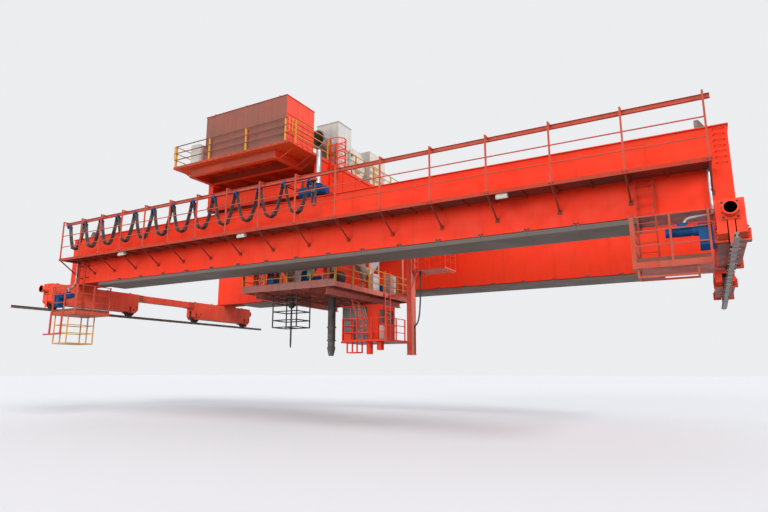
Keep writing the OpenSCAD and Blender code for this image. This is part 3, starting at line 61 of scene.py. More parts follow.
def makeCamera(v):
    data = bpy.data.cameras.new("photoCamera")
    data.sensor_width = v["sensor"]
    data.lens = v["focalPixels"] / v["width"] * v["sensor"]
    data.clip_end = v["farthest"]
    cam = bpy.data.objects.new("photoCamera", data)
    cam.location = v["place"]
    cam.rotation_euler = (math.radians(90 + v["lookUp"]), 0, math.radians(v["turnLeft"]))
    bpy.context.scene.collection.objects.link(cam)
    bpy.context.scene.camera = cam


makeCamera(view)

# Main places of the crane, in metres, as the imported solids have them
crane = {
    "span": 33.5, "girderY": 5.95, "webOut": 6.69, "webIn": 5.21, "girderLow": 1.65, "girderTop": 4.42,
    "walkZ": 3.02, "walkOut": 7.85, "truckY": (2.35, 8.15), "truckZ": (0.38, 1.55),
    "wheelY": (-7.75, -2.75, 2.75, 7.75),
    "posts": 17, "firstPost": 0.32, "postPitch": 1.7, "postGrowth": 0.047,
}
postX = [crane["firstPost"] + crane["postPitch"] * i + crane["postGrowth"] * i * (i - 1) / 2
         for i in range(crane["posts"])]


# A shader tree, with short ways to add what the finishes need
class ShaderKit:
    def __init__(self, tree):
        self.tree = tree

    def add(self, kind):
        return self.tree.nodes.new("ShaderNode" + kind)

    def plug(self, socket, value):
        if isinstance(value, bpy.types.NodeSocket):
            self.tree.links.new(value, socket)
        elif isinstance(value, (int, float)):
            socket.default_value = value
        else:
            socket.default_value = (*value, 1.0)

    def sums(self, kind, *values):
        node = self.add("Math")
        node.operation = kind
        for socket, value in zip(node.inputs, values):
            self.plug(socket, value)
        return node.outputs[0]

    def spread(self, value, low, high, toLow=0.0, toHigh=1.0):
        node = self.add("MapRange")
        for socket, number in zip(("From Min", "From Max", "To Min", "To Max"), (low, high, toLow, toHigh)):
            node.inputs[socket].default_value = number
        self.plug(node.inputs["Value"], value)
        return node.outputs["Result"]

    def blend(self, share, first, second):
        node = self.add("Mix")
        node.data_type = "RGBA"
        for socket, value in ((node.inputs[0], share), (node.inputs[6], first), (node.inputs[7], second)):
            self.plug(socket, value)
        return node.outputs[2]

    def coat(self, colour, over, share, amount):
        # lays another colour over this one, as far as share times amount
        return self.blend(self.sums("MULTIPLY", share, amount), colour, over)

    def axisOf(self, vector, axis):
        split = self.add("SeparateXYZ")
        self.plug(split.inputs[0], vector)
        return split.outputs[axis]


# The tree of one finish, drawn on Object coordinates in metres
class FinishKit(ShaderKit):
    def __init__(self, name):
        self.mat = bpy.data.materials.new(name)
        self.mat.use_nodes = True
        super().__init__(self.mat.node_tree)
        self.surface = self.tree.nodes["Principled BSDF"]
        self.coord = self.add("TexCoord").outputs["Object"]

    def give(self, values):
        for socket, value in values.items():
            self.plug(self.surface.inputs[socket], value)

    def noise(self, size, detail=3.0, stretch=(1, 1, 1)):
        # size is the width of one blotch
        mapping, field = self.add("Mapping"), self.add("TexNoise")
        mapping.inputs["Scale"].default_value = [s / size for s in stretch]
        for socket, value in (("Scale", 1.0), ("Detail", detail), ("Roughness", 0.55)):
            field.inputs[socket].default_value = value
        self.plug(mapping.inputs["Vector"], self.coord)
        self.plug(field.inputs["Vector"], mapping.outputs["Vector"])
        return field.outputs["Fac"]

    def facing(self, axis, low, high):
        # 1 where the surface faces along the axis
        return self.spread(self.axisOf(self.add("NewGeometry").outputs["Normal"], axis), low, high)

    def seams(self, axis, pitch, width, shift):
        # 1 on thin lines across an axis, one each pitch
        along = self.sums("ADD", self.axisOf(self.coord, axis), shift)
        return self.spread(self.sums("PINGPONG", along, pitch / 2), 0.0, width, 1.0, 0.0)

    def bumpy(self, height, strength, distance):
        bump = self.add("Bump")
        for socket, value in (("Strength", strength), ("Distance", distance), ("Height", height)):
            self.plug(bump.inputs[socket], value)
        self.give({"Normal": bump.outputs["Normal"]})


# Painted steel: faded in patches, run with dirt, dusty on top, chipped here and there; a look's side colour is
# painted highlight on faces turned to +X, its below colour painted shade under things
paintUsual = {"patch": 1.6, "fade": 0.6, "mottle": 0.9, "cover": 0.55, "streak": (5.5, 5.5, 0.35),
              "runs": 0.35, "chips": 0.35, "seamDark": 0.4, "dust": 0.6, "gloss": 0.42, "shine": 0.16,
              "dents": 0.25}
# Faces that take a look's front, side and below colours: side is painted highlight, below is painted shade
faceLimits = {"front": ("Y", -0.35, -0.85), "side": ("X", 0.35, 0.85), "below": ("Z", -0.35, -0.85)}


def paintedSteel(name, ownLook):
    kit, look = FinishKit(name), {**paintUsual, **ownLook}
    patches = kit.spread(kit.noise(look["patch"]), 0.35, 0.68)
    colour = kit.coat(look["paint"], look["faded"], patches, look["fade"])
    # side and below are lit and shaded copies of the paint: painted highlight on +X faces, painted shade on
    # undersides (painted light on deckRed's); faces toward -Y take the front colour; all laid on in blotches
    for key, limits in faceLimits.items():
        if key in look:
            mottled = kit.spread(kit.noise(look["mottle"], 5.0), 0.30, 0.62, look["cover"], 1.0)
            colour = kit.coat(colour, look[key], kit.facing(*limits), mottled)
    runs = kit.spread(kit.noise(1.0, 4.0, look["streak"]), 0.50, 0.78)
    colour = kit.coat(colour, look["dirt"], runs, look["runs"])
    if "bare" in look:
        worn = kit.spread(kit.noise(0.7, 6.0, (1, 1, 0.6)), 0.64, 0.70)
        colour = kit.coat(colour, look["bare"], worn, 0.7)
    specks = kit.spread(kit.noise(0.06, 2.0), 0.66, 0.72)
    colour = kit.coat(colour, look["chip"], specks, look["chips"])
    height = kit.noise(0.35, 5.0)
    if "seams" in look:
        axis, pitch, shift = look["seams"]
        seam = kit.seams(axis, pitch, 0.016, shift)
        halo = kit.sums("MULTIPLY", kit.seams(axis, pitch, 0.22, shift), 0.10)
        line = kit.sums("MULTIPLY", seam, look["seamDark"])
        colour = kit.blend(kit.sums("ADD", halo, line), colour, look["dirt"])
        height = kit.sums("ADD", height, seam)
    colour = kit.coat(colour, look["dusty"], kit.facing("Z", 0.45, 0.95), look["dust"])
    for where in look.get("bands", ()):      # the deck's near bars are brown, their posts yellow
        deep = kit.spread(kit.axisOf(kit.coord, "Y"), -8.3, -8.34)
        away = kit.sums("ABSOLUTE", kit.sums("SUBTRACT", kit.axisOf(kit.coord, "Z"), where))
        colour = kit.coat(colour, look["bandColour"], deep, kit.spread(away, 0.030, 0.024))
    rough = kit.spread(kit.noise(0.5), 0.3, 0.7, look["gloss"], look["gloss"] + 0.2)
    kit.give({"Base Color": colour, "Roughness": rough, "Specular IOR Level": look["shine"]})
    kit.bumpy(height, look["dents"], 0.01)
    return kit.mat


# side colours are painted highlights on faces turned to +X; below colours are painted shade under things, but
# deckRed's is painted light from below
paints = {
    "girderRed": {"paint": (0.92, 0.034, 0.006), "faded": (0.84, 0.048, 0.012), "dirt": (0.50, 0.030, 0.008),
                  "chip": (0.38, 0.06, 0.03), "dusty": (0.34, 0.17, 0.11), "fade": 0.75, "runs": 0.24,
                  "patch": 2.6, "below": (0.20, 0.050, 0.028), "seams": ("X", 2.93, 0.9), "chips": 0.22,
                  "seamDark": 0.22, "streak": (3.2, 3.2, 0.9)},
    "craneRed": {"paint": (0.88, 0.036, 0.008), "faded": (0.80, 0.060, 0.020), "dirt": (0.40, 0.036, 0.012),
                 "chip": (0.30, 0.07, 0.04), "dusty": (0.32, 0.19, 0.14), "runs": 0.32,
                 "below": (0.24, 0.050, 0.026)},
    # truckRed's bright side is painted light that makes up for the girders' shadow on the trucks
    "truckRed": {"paint": (0.88, 0.050, 0.016), "faded": (0.82, 0.10, 0.050), "dirt": (0.36, 0.050, 0.024),
                 "chip": (0.22, 0.06, 0.04), "dusty": (0.32, 0.19, 0.14), "runs": 0.30,
                 "side": (1.0, 0.135, 0.072), "below": (0.16, 0.040, 0.026), "seams": ("Y", 1.45, 0.35)},
    # deckRed's pale below colour is painted light from the floor on the deck's underside
    "deckRed": {"paint": (0.80, 0.060, 0.010), "faded": (0.74, 0.085, 0.022), "dirt": (0.30, 0.045, 0.020),
                "chip": (0.30, 0.07, 0.04), "dusty": (0.30, 0.20, 0.15), "fade": 0.5, "runs": 0.30,
                "front": (0.34, 0.060, 0.034), "side": (0.90, 0.075, 0.034), "below": (0.95, 0.120, 0.026),
                "mottle": 1.4},
    "lowDeckRed": {"paint": (0.60, 0.070, 0.022), "faded": (0.50, 0.11, 0.060), "dirt": (0.16, 0.050, 0.032),
                   "chip": (0.22, 0.08, 0.05), "dusty": (0.24, 0.18, 0.15), "runs": 0.50,
                   "front": (0.36, 0.155, 0.130), "side": (0.84, 0.27, 0.21), "below": (0.34, 0.085, 0.055),
                   "mottle": 1.2},
    "postRed": {"paint": (0.50, 0.062, 0.032), "faded": (0.44, 0.105, 0.062), "dirt": (0.17, 0.045, 0.030),
                "chip": (0.20, 0.07, 0.05), "dusty": (0.28, 0.17, 0.13), "fade": 0.8, "runs": 0.40,
                "side": (0.62, 0.090, 0.052), "patch": 0.9},
    "walkBrown": {"paint": (0.46, 0.040, 0.015), "faded": (0.38, 0.052, 0.024), "dirt": (0.14, 0.045, 0.030),
                  "chip": (0.20, 0.07, 0.05), "dusty": (0.22, 0.17, 0.14), "fade": 0.7, "runs": 0.55,
                  "below": (0.115, 0.050, 0.038), "patch": 0.9, "mottle": 1.6},
    "bleachedRed": {"paint": (0.70, 0.10, 0.060), "faded": (0.74, 0.19, 0.135), "dirt": (0.30, 0.080, 0.055),
                    "chip": (0.25, 0.08, 0.05), "dusty": (0.36, 0.24, 0.19), "fade": 0.7, "runs": 0.35,
                    "front": (0.56, 0.060, 0.030), "side": (0.78, 0.22, 0.165)},
    "dustBrown": {"paint": (0.68, 0.060, 0.022), "faded": (0.60, 0.075, 0.035), "dirt": (0.15, 0.070, 0.052),
                  "chip": (0.50, 0.12, 0.06), "dusty": (0.26, 0.17, 0.13), "fade": 0.7, "runs": 0.55,
                  "front": (0.225, 0.095, 0.072), "side": (0.96, 0.105, 0.066), "bare": (0.42, 0.085, 0.045),
                  "mottle": 2.0, "cover": 0.82, "gloss": 0.55, "streak": (3.6, 3.6, 0.22)},
    "railYellow": {"paint": (0.72, 0.33, 0.026), "faded": (0.56, 0.30, 0.090), "dirt": (0.20, 0.090, 0.042),
                   "chip": (0.20, 0.10, 0.06), "dusty": (0.36, 0.26, 0.16), "fade": 0.7, "patch": 0.5,
                   "runs": 0.5, "bands": (6.978, 7.330, 7.682), "bandColour": (0.19, 0.075, 0.052)},
    "motorBlue": {"paint": (0.001, 0.066, 0.21), "faded": (0.003, 0.092, 0.26), "dirt": (0.006, 0.030, 0.065),
                  "chip": (0.03, 0.05, 0.07), "dusty": (0.06, 0.11, 0.17), "fade": 0.5, "patch": 0.5,
                  "shine": 0.22},
    "housingGrey": {"paint": (0.47, 0.45, 0.40), "faded": (0.62, 0.60, 0.55), "dirt": (0.24, 0.22, 0.18),
                    "chip": (0.22, 0.17, 0.14), "dusty": (0.42, 0.38, 0.33),
                    "side": (0.74, 0.73, 0.70)},
    "fanCream": {"paint": (0.70, 0.66, 0.57), "faded": (0.80, 0.78, 0.72), "dirt": (0.34, 0.29, 0.22),
                 "chip": (0.30, 0.24, 0.18), "dusty": (0.50, 0.45, 0.37)},
    "darkSteel": {"paint": (0.052, 0.045, 0.043), "faded": (0.090, 0.076, 0.070), "dirt": (0.11, 0.065, 0.048),
                  "chip": (0.20, 0.10, 0.06), "dusty": (0.20, 0.17, 0.15), "gloss": 0.55},
    "oxideBrown": {"paint": (0.17, 0.055, 0.036), "faded": (0.21, 0.085, 0.060), "dirt": (0.07, 0.04, 0.03),
                   "chip": (0.28, 0.10, 0.05), "dusty": (0.26, 0.20, 0.17), "gloss": 0.6},
    "doorCream": {"paint": (0.78, 0.60, 0.54), "faded": (0.84, 0.72, 0.67), "dirt": (0.40, 0.26, 0.21),
                  "chip": (0.40, 0.15, 0.10), "dusty": (0.50, 0.42, 0.36), "runs": 0.3},
}
finish = {name: paintedSteel(name, look) for name, look in paints.items()}


# Bare steels: rail head, galvanised tube, pipes and the heat-stained shields with their sooty seams
def bareSteel(name, look):
    kit = FinishKit(name)
    patches = kit.spread(kit.noise(look["patch"], 4.0), 0.34, 0.66)
    colour = kit.blend(patches, look["metal"], look["stain"])
    specks = kit.spread(kit.noise(look["patch"] / 12, 2.0), 0.58, 0.72)
    colour = kit.coat(colour, look["speck"], specks, 0.6)
    height = kit.noise(look["patch"] / 4, 5.0)
    if "seams" in look:
        seam = kit.seams("X", *look["seams"])
        colour = kit.coat(colour, look["soot"], seam, 0.75)
        height = kit.sums("SUBTRACT", height, seam)
    colour = kit.coat(colour, look["dusty"], kit.facing("Z", 0.5, 0.95), 0.3)
    rough = kit.spread(patches, 0, 1, look["rough"], look["rough"] + 0.25)
    kit.give({"Base Color": colour, "Metallic": look["metallic"], "Roughness": rough})
    kit.bumpy(height, 0.3, 0.006)
    return kit.mat


steels = {
    "railSteel": {"metal": (0.24, 0.21, 0.19), "stain": (0.14, 0.09, 0.07), "speck": (0.22, 0.10, 0.06),
                  "dusty": (0.32, 0.28, 0.25), "patch": 0.5, "metallic": 0.5, "rough": 0.4},
    "galvanised": {"metal": (0.52, 0.53, 0.54), "stain": (0.38, 0.38, 0.38), "speck": (0.60, 0.60, 0.60),
                   "dusty": (0.40, 0.37, 0.34), "patch": 0.25, "metallic": 0.6, "rough": 0.35},
    "shieldSteel": {"metal": (0.105, 0.088, 0.076), "stain": (0.150, 0.125, 0.105),
                    "speck": (0.17, 0.13, 0.10), "dusty": (0.24, 0.19, 0.15), "patch": 1.4, "metallic": 0.1,
                    "rough": 0.6, "seams": (1.756, 0.022, -0.844), "soot": (0.105, 0.042, 0.030)},
    "pipeGrey": {"metal": (0.135, 0.130, 0.130), "stain": (0.085, 0.078, 0.074), "speck": (0.22, 0.17, 0.14),
                 "dusty": (0.28, 0.25, 0.22), "patch": 0.4, "metallic": 0.3, "rough": 0.5},
}
finish.update({name: bareSteel(name, look) for name, look in steels.items()})


def rubberCable(name, look):
    kit = FinishKit(name)
    scuffs = kit.spread(kit.noise(0.18, 4.0), 0.42, 0.72)
    colour = kit.coat(look["rubber"], look["dusty"], scuffs, look["scuff"])
    kit.give({"Base Color": colour, "Roughness": 0.55})
    kit.bumpy(kit.noise(0.05), 0.3, 0.002)
    return kit.mat


rubbers = {
    "cableBlack": {"rubber": (0.022, 0.021, 0.022), "dusty": (0.13, 0.115, 0.10), "scuff": 0.5},
    "cableGrey": {"rubber": (0.042, 0.038, 0.037), "dusty": (0.15, 0.125, 0.11), "scuff": 0.75},
}
finish.update({name: rubberCable(name, look) for name, look in rubbers.items()})


def dustyGlass(name, look):
    kit = FinishKit(name)
    film = kit.spread(kit.noise(0.5, 4.0), 0.35, 0.75)
    kit.give({"Base Color": kit.blend(film, look["glass"], look["dust"]), "Alpha": look["alpha"],
              "Roughness": 0.16, "Specular IOR Level": 0.18})
    kit.mat.surface_render_method = "DITHERED"
    return kit.mat


glasses = {
    "cabGlass": {"glass": (0.050, 0.105, 0.100), "dust": (0.105, 0.170, 0.160), "alpha": 0.86},
    "lampGlass": {"glass": (0.52, 0.50, 0.44), "dust": (0.66, 0.64, 0.58), "alpha": 1.0},
}
finish.update({name: dustyGlass(name, look) for name, look in glasses.items()})
print("finishes made:", len(finish))

# Which finish each carried-over piece gets; the ones not named here are plain crane red, but wheels dark steel
wears = {
    "runway_rails": "railSteel", "trolley_rails": "railSteel", "heat_shields": "shieldSteel",
    "girder_near": "girderRed", "girder_far": "girderRed", "end_trucks": "truckRed",
    "walkway_near": "walkBrown", "walkway_far": "walkBrown", "festoon_frame": "postRed",
    "bridge_railings": "postRed", "drive_platforms": "postRed", "service_cage": "railYellow",
    "bridge_drives": "motorBlue", "trolley_drives": "motorBlue", "deck_machinery": "motorBlue",
    "upper_deck": "deckRed", "lower_deck": "lowDeckRed", "hanger_columns": "bleachedRed",
    "dust_box": "dustBrown", "deck_railings": "railYellow", "air_unit": "housingGrey",
    "blower": "fanCream", "air_ducts": "galvanised", "cabinets": "housingGrey", "hoppers": "housingGrey",
    "cab_glass": "cabGlass", "cab_stairs": "bleachedRed", "service_mast": "bleachedRed",
    "suction_guide": "pipeGrey", "suction_pipe": "pipeGrey", "mast_hose": "cableBlack",
    "tool_cage": "darkSteel",
}


def dressNodes(table):
    for name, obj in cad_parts.items():
        mat = finish[table.get(name, "darkSteel" if "wheel" in name else "craneRed")]
        obj.data.materials.clear()
        obj.data.materials.append(mat)


dressNodes(wears)
print("carried-over pieces dressed")


# Mesh shop: small shapes drawn into one mesh
def slab(bm, low, high, bevel=0.0):
    low, high = [min(a, b) for a, b in zip(low, high)], [max(a, b) for a, b in zip(low, high)]
    v = [bm.verts.new((x, y, z)) for x in (low[0], high[0]) for y in (low[1], high[1])
         for z in (low[2], high[2])]
    faces = [bm.faces.new([v[i] for i in ring]) for ring in
             ((0, 1, 3, 2), (4, 6, 7, 5), (0, 4, 5, 1), (2, 3, 7, 6), (0, 2, 6, 4), (1, 5, 7, 3))]
    if bevel:
        edges = list({e for f in faces for e in f.edges})
        bmesh.ops.bevel(bm, geom=edges, offset=bevel, segments=2, affect="EDGES", profile=0.6)


def block(bm, middle, half, bevel=0.0):
    slab(bm, [m - h for m, h in zip(middle, half)], [m + h for m, h in zip(middle, half)], bevel)


def circle(radius, sides, start=0.0):
    angles = [start + 2 * math.pi * k / sides for k in range(sides)]
    return [(radius * math.cos(a), radius * math.sin(a)) for a in angles]


def prism(bm, outline, x0, x1):
    # an outline of (y, z) points drawn out across the span
    ends = [[bm.verts.new((x, y, z)) for y, z in outline] for x in (x0, x1)]
    for i in range(len(outline)):
        j = (i + 1) % len(outline)
        bm.faces.new((ends[0][i], ends[0][j], ends[1][j], ends[1][i]))
    for end in ends:
        bm.faces.new(end)


def sweep(bm, points, section, closed=False):
    # carries a section of (side, up) pairs along the points, turning as little as it can
    points = [Vector(p) for p in points]
    count = len(points)
    up = Vector((0, 0, 1))
    rings = []
    for i, p in enumerate(points):
        before = points[i - 1] if i or closed else p
        after = points[(i + 1) % count] if i < count - 1 or closed else p
        along = (after - before).normalized()
        side = along.cross(up)
        if side.length < 0.05:
            side = lastSide - along * lastSide.dot(along) if rings else along.cross(Vector((0, 1, 0)))
        side.normalize()
        if rings and side.dot(lastSide) < 0:
            side = -side
        lastSide = side
        rise = side.cross(along).normalized()
        rings.append([bm.verts.new(p + side * s + rise * u) for s, u in section])
    sides = len(section)
    for i in range(count if closed else count - 1):
        a, b = rings[i], rings[(i + 1) % count]
        for k in range(sides):
            bm.faces.new((a[k], a[(k + 1) % sides], b[(k + 1) % sides], b[k]))
    if not closed:
        bm.faces.new(rings[0][::-1])
        bm.faces.new(rings[-1])


def rod(bm, start, end, radius, sides=10):
    sweep(bm, [start, end], circle(radius, sides))


def hoop(bm, x, y, z, radius, count, section):
    # a closed ring that stands square to the span
    sweep(bm, [(x, y + a, z + b) for a, b in circle(radius, count)], section, closed=True)


def lathe(bm, profile, place, axis="Z", sides=24):
    # profile is (radius, height) pairs from the axis to the axis
    turn = {"X": lambda a, b, h: (h, a, b), "Y": lambda a, b, h: (b, h, a),
            "Z": lambda a, b, h: (a, b, h)}[axis]
    rings = []
    for radius, h in profile:
        around = circle(radius, sides) if radius > 0 else [(0, 0)]
        rings.append([bm.verts.new([p + q for p, q in zip(place, turn(a, b, h))]) for a, b in around])
    for a, b in zip(rings, rings[1:]):
        for k in range(sides):
            ring = [a[k % len(a)], a[(k + 1) % len(a)], b[(k + 1) % len(b)], b[k % len(b)]]
            corners = [v for i, v in enumerate(ring) if v not in ring[:i]]
            if len(corners) > 2:
                bm.faces.new(corners)


def disc(bm, place, axis, radius, thick, sides=20):
    lathe(bm, [(0, 0), (radius, 0), (radius, thick), (0, thick)], place, axis, sides)


def makePiece(name, body, mat, bm, smooth=False):
    bmesh.ops.recalc_face_normals(bm, faces=bm.faces)
    mesh = bpy.data.meshes.new(name)
    bm.to_mesh(mesh)
    bm.free()
    if smooth:
        mesh.shade_smooth()
    mesh.materials.append(finish[mat])
    obj = bpy.data.objects.new(name, mesh)
    bpy.context.scene.collection.objects.link(obj)
    if body:
        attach(obj, body)
    return obj


def rows(start, end, count):
    return [start + (end - start) * i / (count - 1) for i in range(count)]


# Geometry Nodes: each tree is built here with named inputs and turned into a plain mesh
class TreeKit:
    def __init__(self, name, inputs):
        self.tree = bpy.data.node_groups.new(name, "GeometryNodeTree")
        face = self.tree.interface
        face.new_socket("Geometry", in_out="INPUT", socket_type="NodeSocketGeometry")
        self.keys = {label: face.new_socket(label, in_out="INPUT", socket_type="NodeSocket" + kind).identifier
                     for label, kind in inputs.items()}
        face.new_socket("Geometry", in_out="OUTPUT", socket_type="NodeSocketGeometry")
        self.source = self.tree.nodes.new("NodeGroupInput").outputs

    def node(self, kind, links, **settings):
        made = self.tree.nodes.new(kind)
        for key, value in settings.items():
            setattr(made, key, value)
        for socket, value in links.items():
            target = made.inputs[socket]
            if isinstance(value, bpy.types.NodeSocket):
                self.tree.links.new(value, target)
            else:
                target.default_value = value
        return made

    def get(self, kind, links, output=0, **settings):
        return self.node(kind, links, **settings).outputs[output]

    def times(self, value, share):
        return self.get("ShaderNodeMath", {0: value, 1: share}, operation="MULTIPLY")

    def turn(self, axis, angle):
        return self.get("FunctionNodeAxisAngleToRotation", {"Axis": axis, "Angle": angle})

    def facing(self):
        # the rotation that stands a piece on its point's facing
        toward = self.get("GeometryNodeInputNamedAttribute", {"Name": "facing"}, data_type="FLOAT_VECTOR")
        return self.get("FunctionNodeAlignRotationToVector", {"Vector": toward}, axis="Z")

    def scatter(self, points, thing, rotation):
        return self.close(self.get("GeometryNodeInstanceOnPoints",
                                   {"Points": points, "Instance": thing, "Rotation": rotation}))

    def close(self, geometry):
        # every tree ends the same way
        real = self.get("GeometryNodeRealizeInstances", {"Geometry": geometry})
        dressed = self.get("GeometryNodeSetMaterial", {"Geometry": real, "Material": self.source["Material"]})
        self.tree.links.new(dressed, self.tree.nodes.new("NodeGroupOutput").inputs[0])
        return self


def growPiece(name, body, kit, source, values):
    # runs a tree on a source mesh and keeps the result as a plain mesh that rides on one body
    holder = bpy.data.objects.new(name + "Source", source)
    bpy.context.scene.collection.objects.link(holder)
    modifier = holder.modifiers.new("grow", "NODES")
    modifier.node_group = kit.tree
    for label, value in values.items():
        modifier[kit.keys[label]] = value
    seen = holder.evaluated_get(bpy.context.evaluated_depsgraph_get())
    mesh = bpy.data.meshes.new_from_object(seen)
    holder.modifiers.remove(modifier)
    bpy.data.objects.remove(holder)
    bm = bmesh.new()
    bm.from_mesh(mesh)
    bmesh.ops.remove_doubles(bm, verts=bm.verts, dist=0.00001)
    bmesh.ops.recalc_face_normals(bm, faces=bm.faces)
    bm.to_mesh(mesh)
    bm.free()
    mesh.name = name
    mesh.materials.clear()
    mesh.materials.append(values["Material"])
    obj = bpy.data.objects.new(name, mesh)
    bpy.context.scene.collection.objects.link(obj)
    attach(obj, body)
    return obj


def spots(places):
    # places are (point, facing) pairs
    mesh = bpy.data.meshes.new("spots")
    mesh.from_pydata([p for p, _ in places], [], [])
    turn = mesh.attributes.new("facing", "FLOAT_VECTOR", "POINT")
    turn.data.foreach_set("vector", [c for _, f in places for c in f])
    return mesh


def routes(lines):
    points, edges = [], []
    for line in lines:
        edges += [(len(points) + i, len(points) + i + 1) for i in range(len(line) - 1)]
        points += line
    mesh = bpy.data.meshes.new("routes")
    mesh.from_pydata(points, edges, [])
    return mesh


def boltTree():
    # a hexagon head on a washer at each point, each turned by its own amount
    kit = TreeKit("boltHeads", {"Width": "Float", "Height": "Float", "Seed": "Int", "Material": "Material"})
    width, height = kit.source["Width"], kit.source["Height"]

    def drum(sides, radius, depth, z):
        mesh = kit.get("GeometryNodeMeshCylinder", {"Vertices": sides, "Radius": radius, "Depth": depth})
        lift = kit.get("ShaderNodeCombineXYZ", {"Z": z})
        return kit.get("GeometryNodeTransform", {"Geometry": mesh, "Translation": lift})

    head = drum(6, kit.times(width, 0.5), height, kit.times(height, 0.55))
    washer = drum(10, kit.times(width, 0.8), kit.times(height, 0.3), kit.times(height, 0.12))
    both = kit.node("GeometryNodeJoinGeometry", {"Geometry": head})
    kit.tree.links.new(washer, both.inputs["Geometry"])
    share = kit.get("FunctionNodeRandomValue", {"Seed": kit.source["Seed"]}, 1, data_type="FLOAT")
    rotation = kit.get("FunctionNodeRotateRotation", rotation_space="LOCAL", links={
        "Rotation": kit.facing(), "Rotate By": kit.turn((0, 0, 1), kit.times(share, math.pi / 3))})
    return kit.scatter(kit.source[0], both.outputs[0], rotation)


def blockTree():
    # a small block at each point, its third size along the facing
    kit = TreeKit("blocksAt", {"Size": "Vector", "Material": "Material"})
    brick = kit.get("GeometryNodeMeshCube", {"Size": kit.source["Size"]})
    return kit.scatter(kit.source[0], brick, kit.facing())


def tubeTree():
    # a round tube along each line, its corners rounded to the bend
    kit = TreeKit("tubesAlong", {"Radius": "Float", "Bend": "Float", "Sides": "Int", "Material": "Material"})
    line = kit.get("GeometryNodeMeshToCurve", {"Mesh": kit.source[0]})
    eased = kit.get("GeometryNodeFilletCurve", mode="POLY", links={
        "Curve": line, "Count": 5, "Radius": kit.source["Bend"], "Limit Radius": True})
    ring = kit.get("GeometryNodeCurvePrimitiveCircle",
                   {"Resolution": kit.source["Sides"], "Radius": kit.source["Radius"]})
    tube = kit.get("GeometryNodeCurveToMesh", {"Curve": eased, "Profile Curve": ring, "Fill Caps": True})
    return kit.close(tube)


def chainTree():
    # oval links along a line, every second one turned a quarter
    kit = TreeKit("chainLinks", {"Pitch": "Float", "Wire": "Float", "Material": "Material"})
    pitch = kit.source["Pitch"]
    line = kit.get("GeometryNodeMeshToCurve", {"Mesh": kit.source[0]})
    steps = kit.get("GeometryNodeResampleCurve", {"Curve": line, "Length": pitch}, mode="LENGTH")
    ring = kit.get("GeometryNodeCurvePrimitiveCircle", {"Resolution": 10, "Radius": pitch})
    oval = kit.get("GeometryNodeTransform", {"Geometry": ring, "Scale": (0.72, 0.42, 1.0)})
    wire = kit.get("GeometryNodeCurvePrimitiveCircle", {"Resolution": 5, "Radius": kit.source["Wire"]})
    link = kit.get("GeometryNodeCurveToMesh", {"Curve": oval, "Profile Curve": wire})
    quarter = kit.times(kit.get("GeometryNodeInputIndex", {}), math.pi / 2)
    rotation = kit.get("FunctionNodeRotateRotation", rotation_space="GLOBAL", links={
        "Rotation": kit.turn((0, 1, 0), math.pi / 2), "Rotate By": kit.turn((0, 0, 1), quarter)})
    return kit.scatter(steps, link, rotation)


trees = {"bolts": boltTree(), "blocks": blockTree(), "tubes": tubeTree(), "chain": chainTree()}


def bolts(name, body, places, mat, width, height):
    return growPiece(name, body, trees["bolts"], spots(places),
                     {"Width": width, "Height": height, "Seed": 7, "Material": finish[mat]})


def blocks(name, body, places, size, mat):
    return growPiece(name, body, trees["blocks"], spots(places), {"Size": size, "Material": finish[mat]})


def tubes(name, body, lines, radius, mat, bend, sides=10):
    piece = growPiece(name, body, trees["tubes"], routes(lines),
                      {"Radius": radius, "Bend": bend, "Sides": sides, "Material": finish[mat]})
    piece.data.shade_smooth()
    return piece


print("trees built:", len(trees))

# The service hose first, the one free cord: it hangs from the mast's basket
hose = {
    "diameter": 0.08,
    "route": [(19.5, 0.3, 1.89), (19.5, 0.3, 1.5), (19.49, 0.3, 1.0), (19.47, 0.3, 0.5), (19.44, 0.3, 0.0),
              (19.40, 0.3, -0.4), (19.34, 0.3, -0.7), (19.25, 0.3, -0.9), (19.15, 0.3, -1.0)],
    "fitting": [(0, -0.09), (0.030, -0.09), (0.030, -0.05), (0.050, -0.04), (0.050, 0.02), (0, 0.02)],
    "fittingShift": 0.02, "chainPitch": 0.075, "chainWire": 0.011, "chainDrop": 0.10, "chainEnd": -2.45,
}


def smoothLine(points, steps):
    # a Catmull-Rom line through the points
    line = []
    for i in range(len(points) - 1):
        p0, p1, p2 = Vector(points[max(i - 1, 0)]), Vector(points[i]), Vector(points[i + 1])
        p3 = Vector(points[min(i + 2, len(points) - 1)])
        for k in range(steps):
            t = k / steps
            line.append(0.5 * ((2 * p1) + (p2 - p0) * t + (2 * p0 - 5 * p1 + 4 * p2 - p3) * t * t
                               + (3 * p1 - p0 - 3 * p2 + p3) * t ** 3))
    return line + [Vector(points[-1])]


def makeHose(h):
    line = smoothLine(h["route"], 4)
    data = bpy.data.curves.new("serviceHose", "CURVE")
    data.dimensions = "3D"
    spline = data.splines.new("POLY")
    spline.points.add(len(line) - 1)
    for point, place in zip(spline.points, line):
        point.co = (*place, 1)
    data.bevel_depth = h["diameter"] / 2
    data.bevel_resolution = 3
    data.use_fill_caps = True
    data.materials.append(finish["cableBlack"])
    hoseObject = bpy.data.objects.new("serviceHose", data)
    bpy.context.scene.collection.objects.link(hoseObject)
    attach(hoseObject, "trolley")
    x, y, z = line[-1]
    x -= h["fittingShift"]
    bm = bmesh.new()
    lathe(bm, h["fitting"], (x, y, z - h["fittingShift"]), "Z", 16)
    fitting = makePiece("hoseFitting", "trolley", "darkSteel", bm, True)
    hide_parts("mast_hose")
    chain = routes([[(x, y, z - h["chainDrop"]), (x, y, h["chainEnd"])]])
    growPiece("hoistChain", "trolley", trees["chain"], chain,
              {"Pitch": h["chainPitch"], "Wire": h["chainWire"], "Material": finish["darkSteel"]})


makeHose(hose)
print("service hose and chain made")

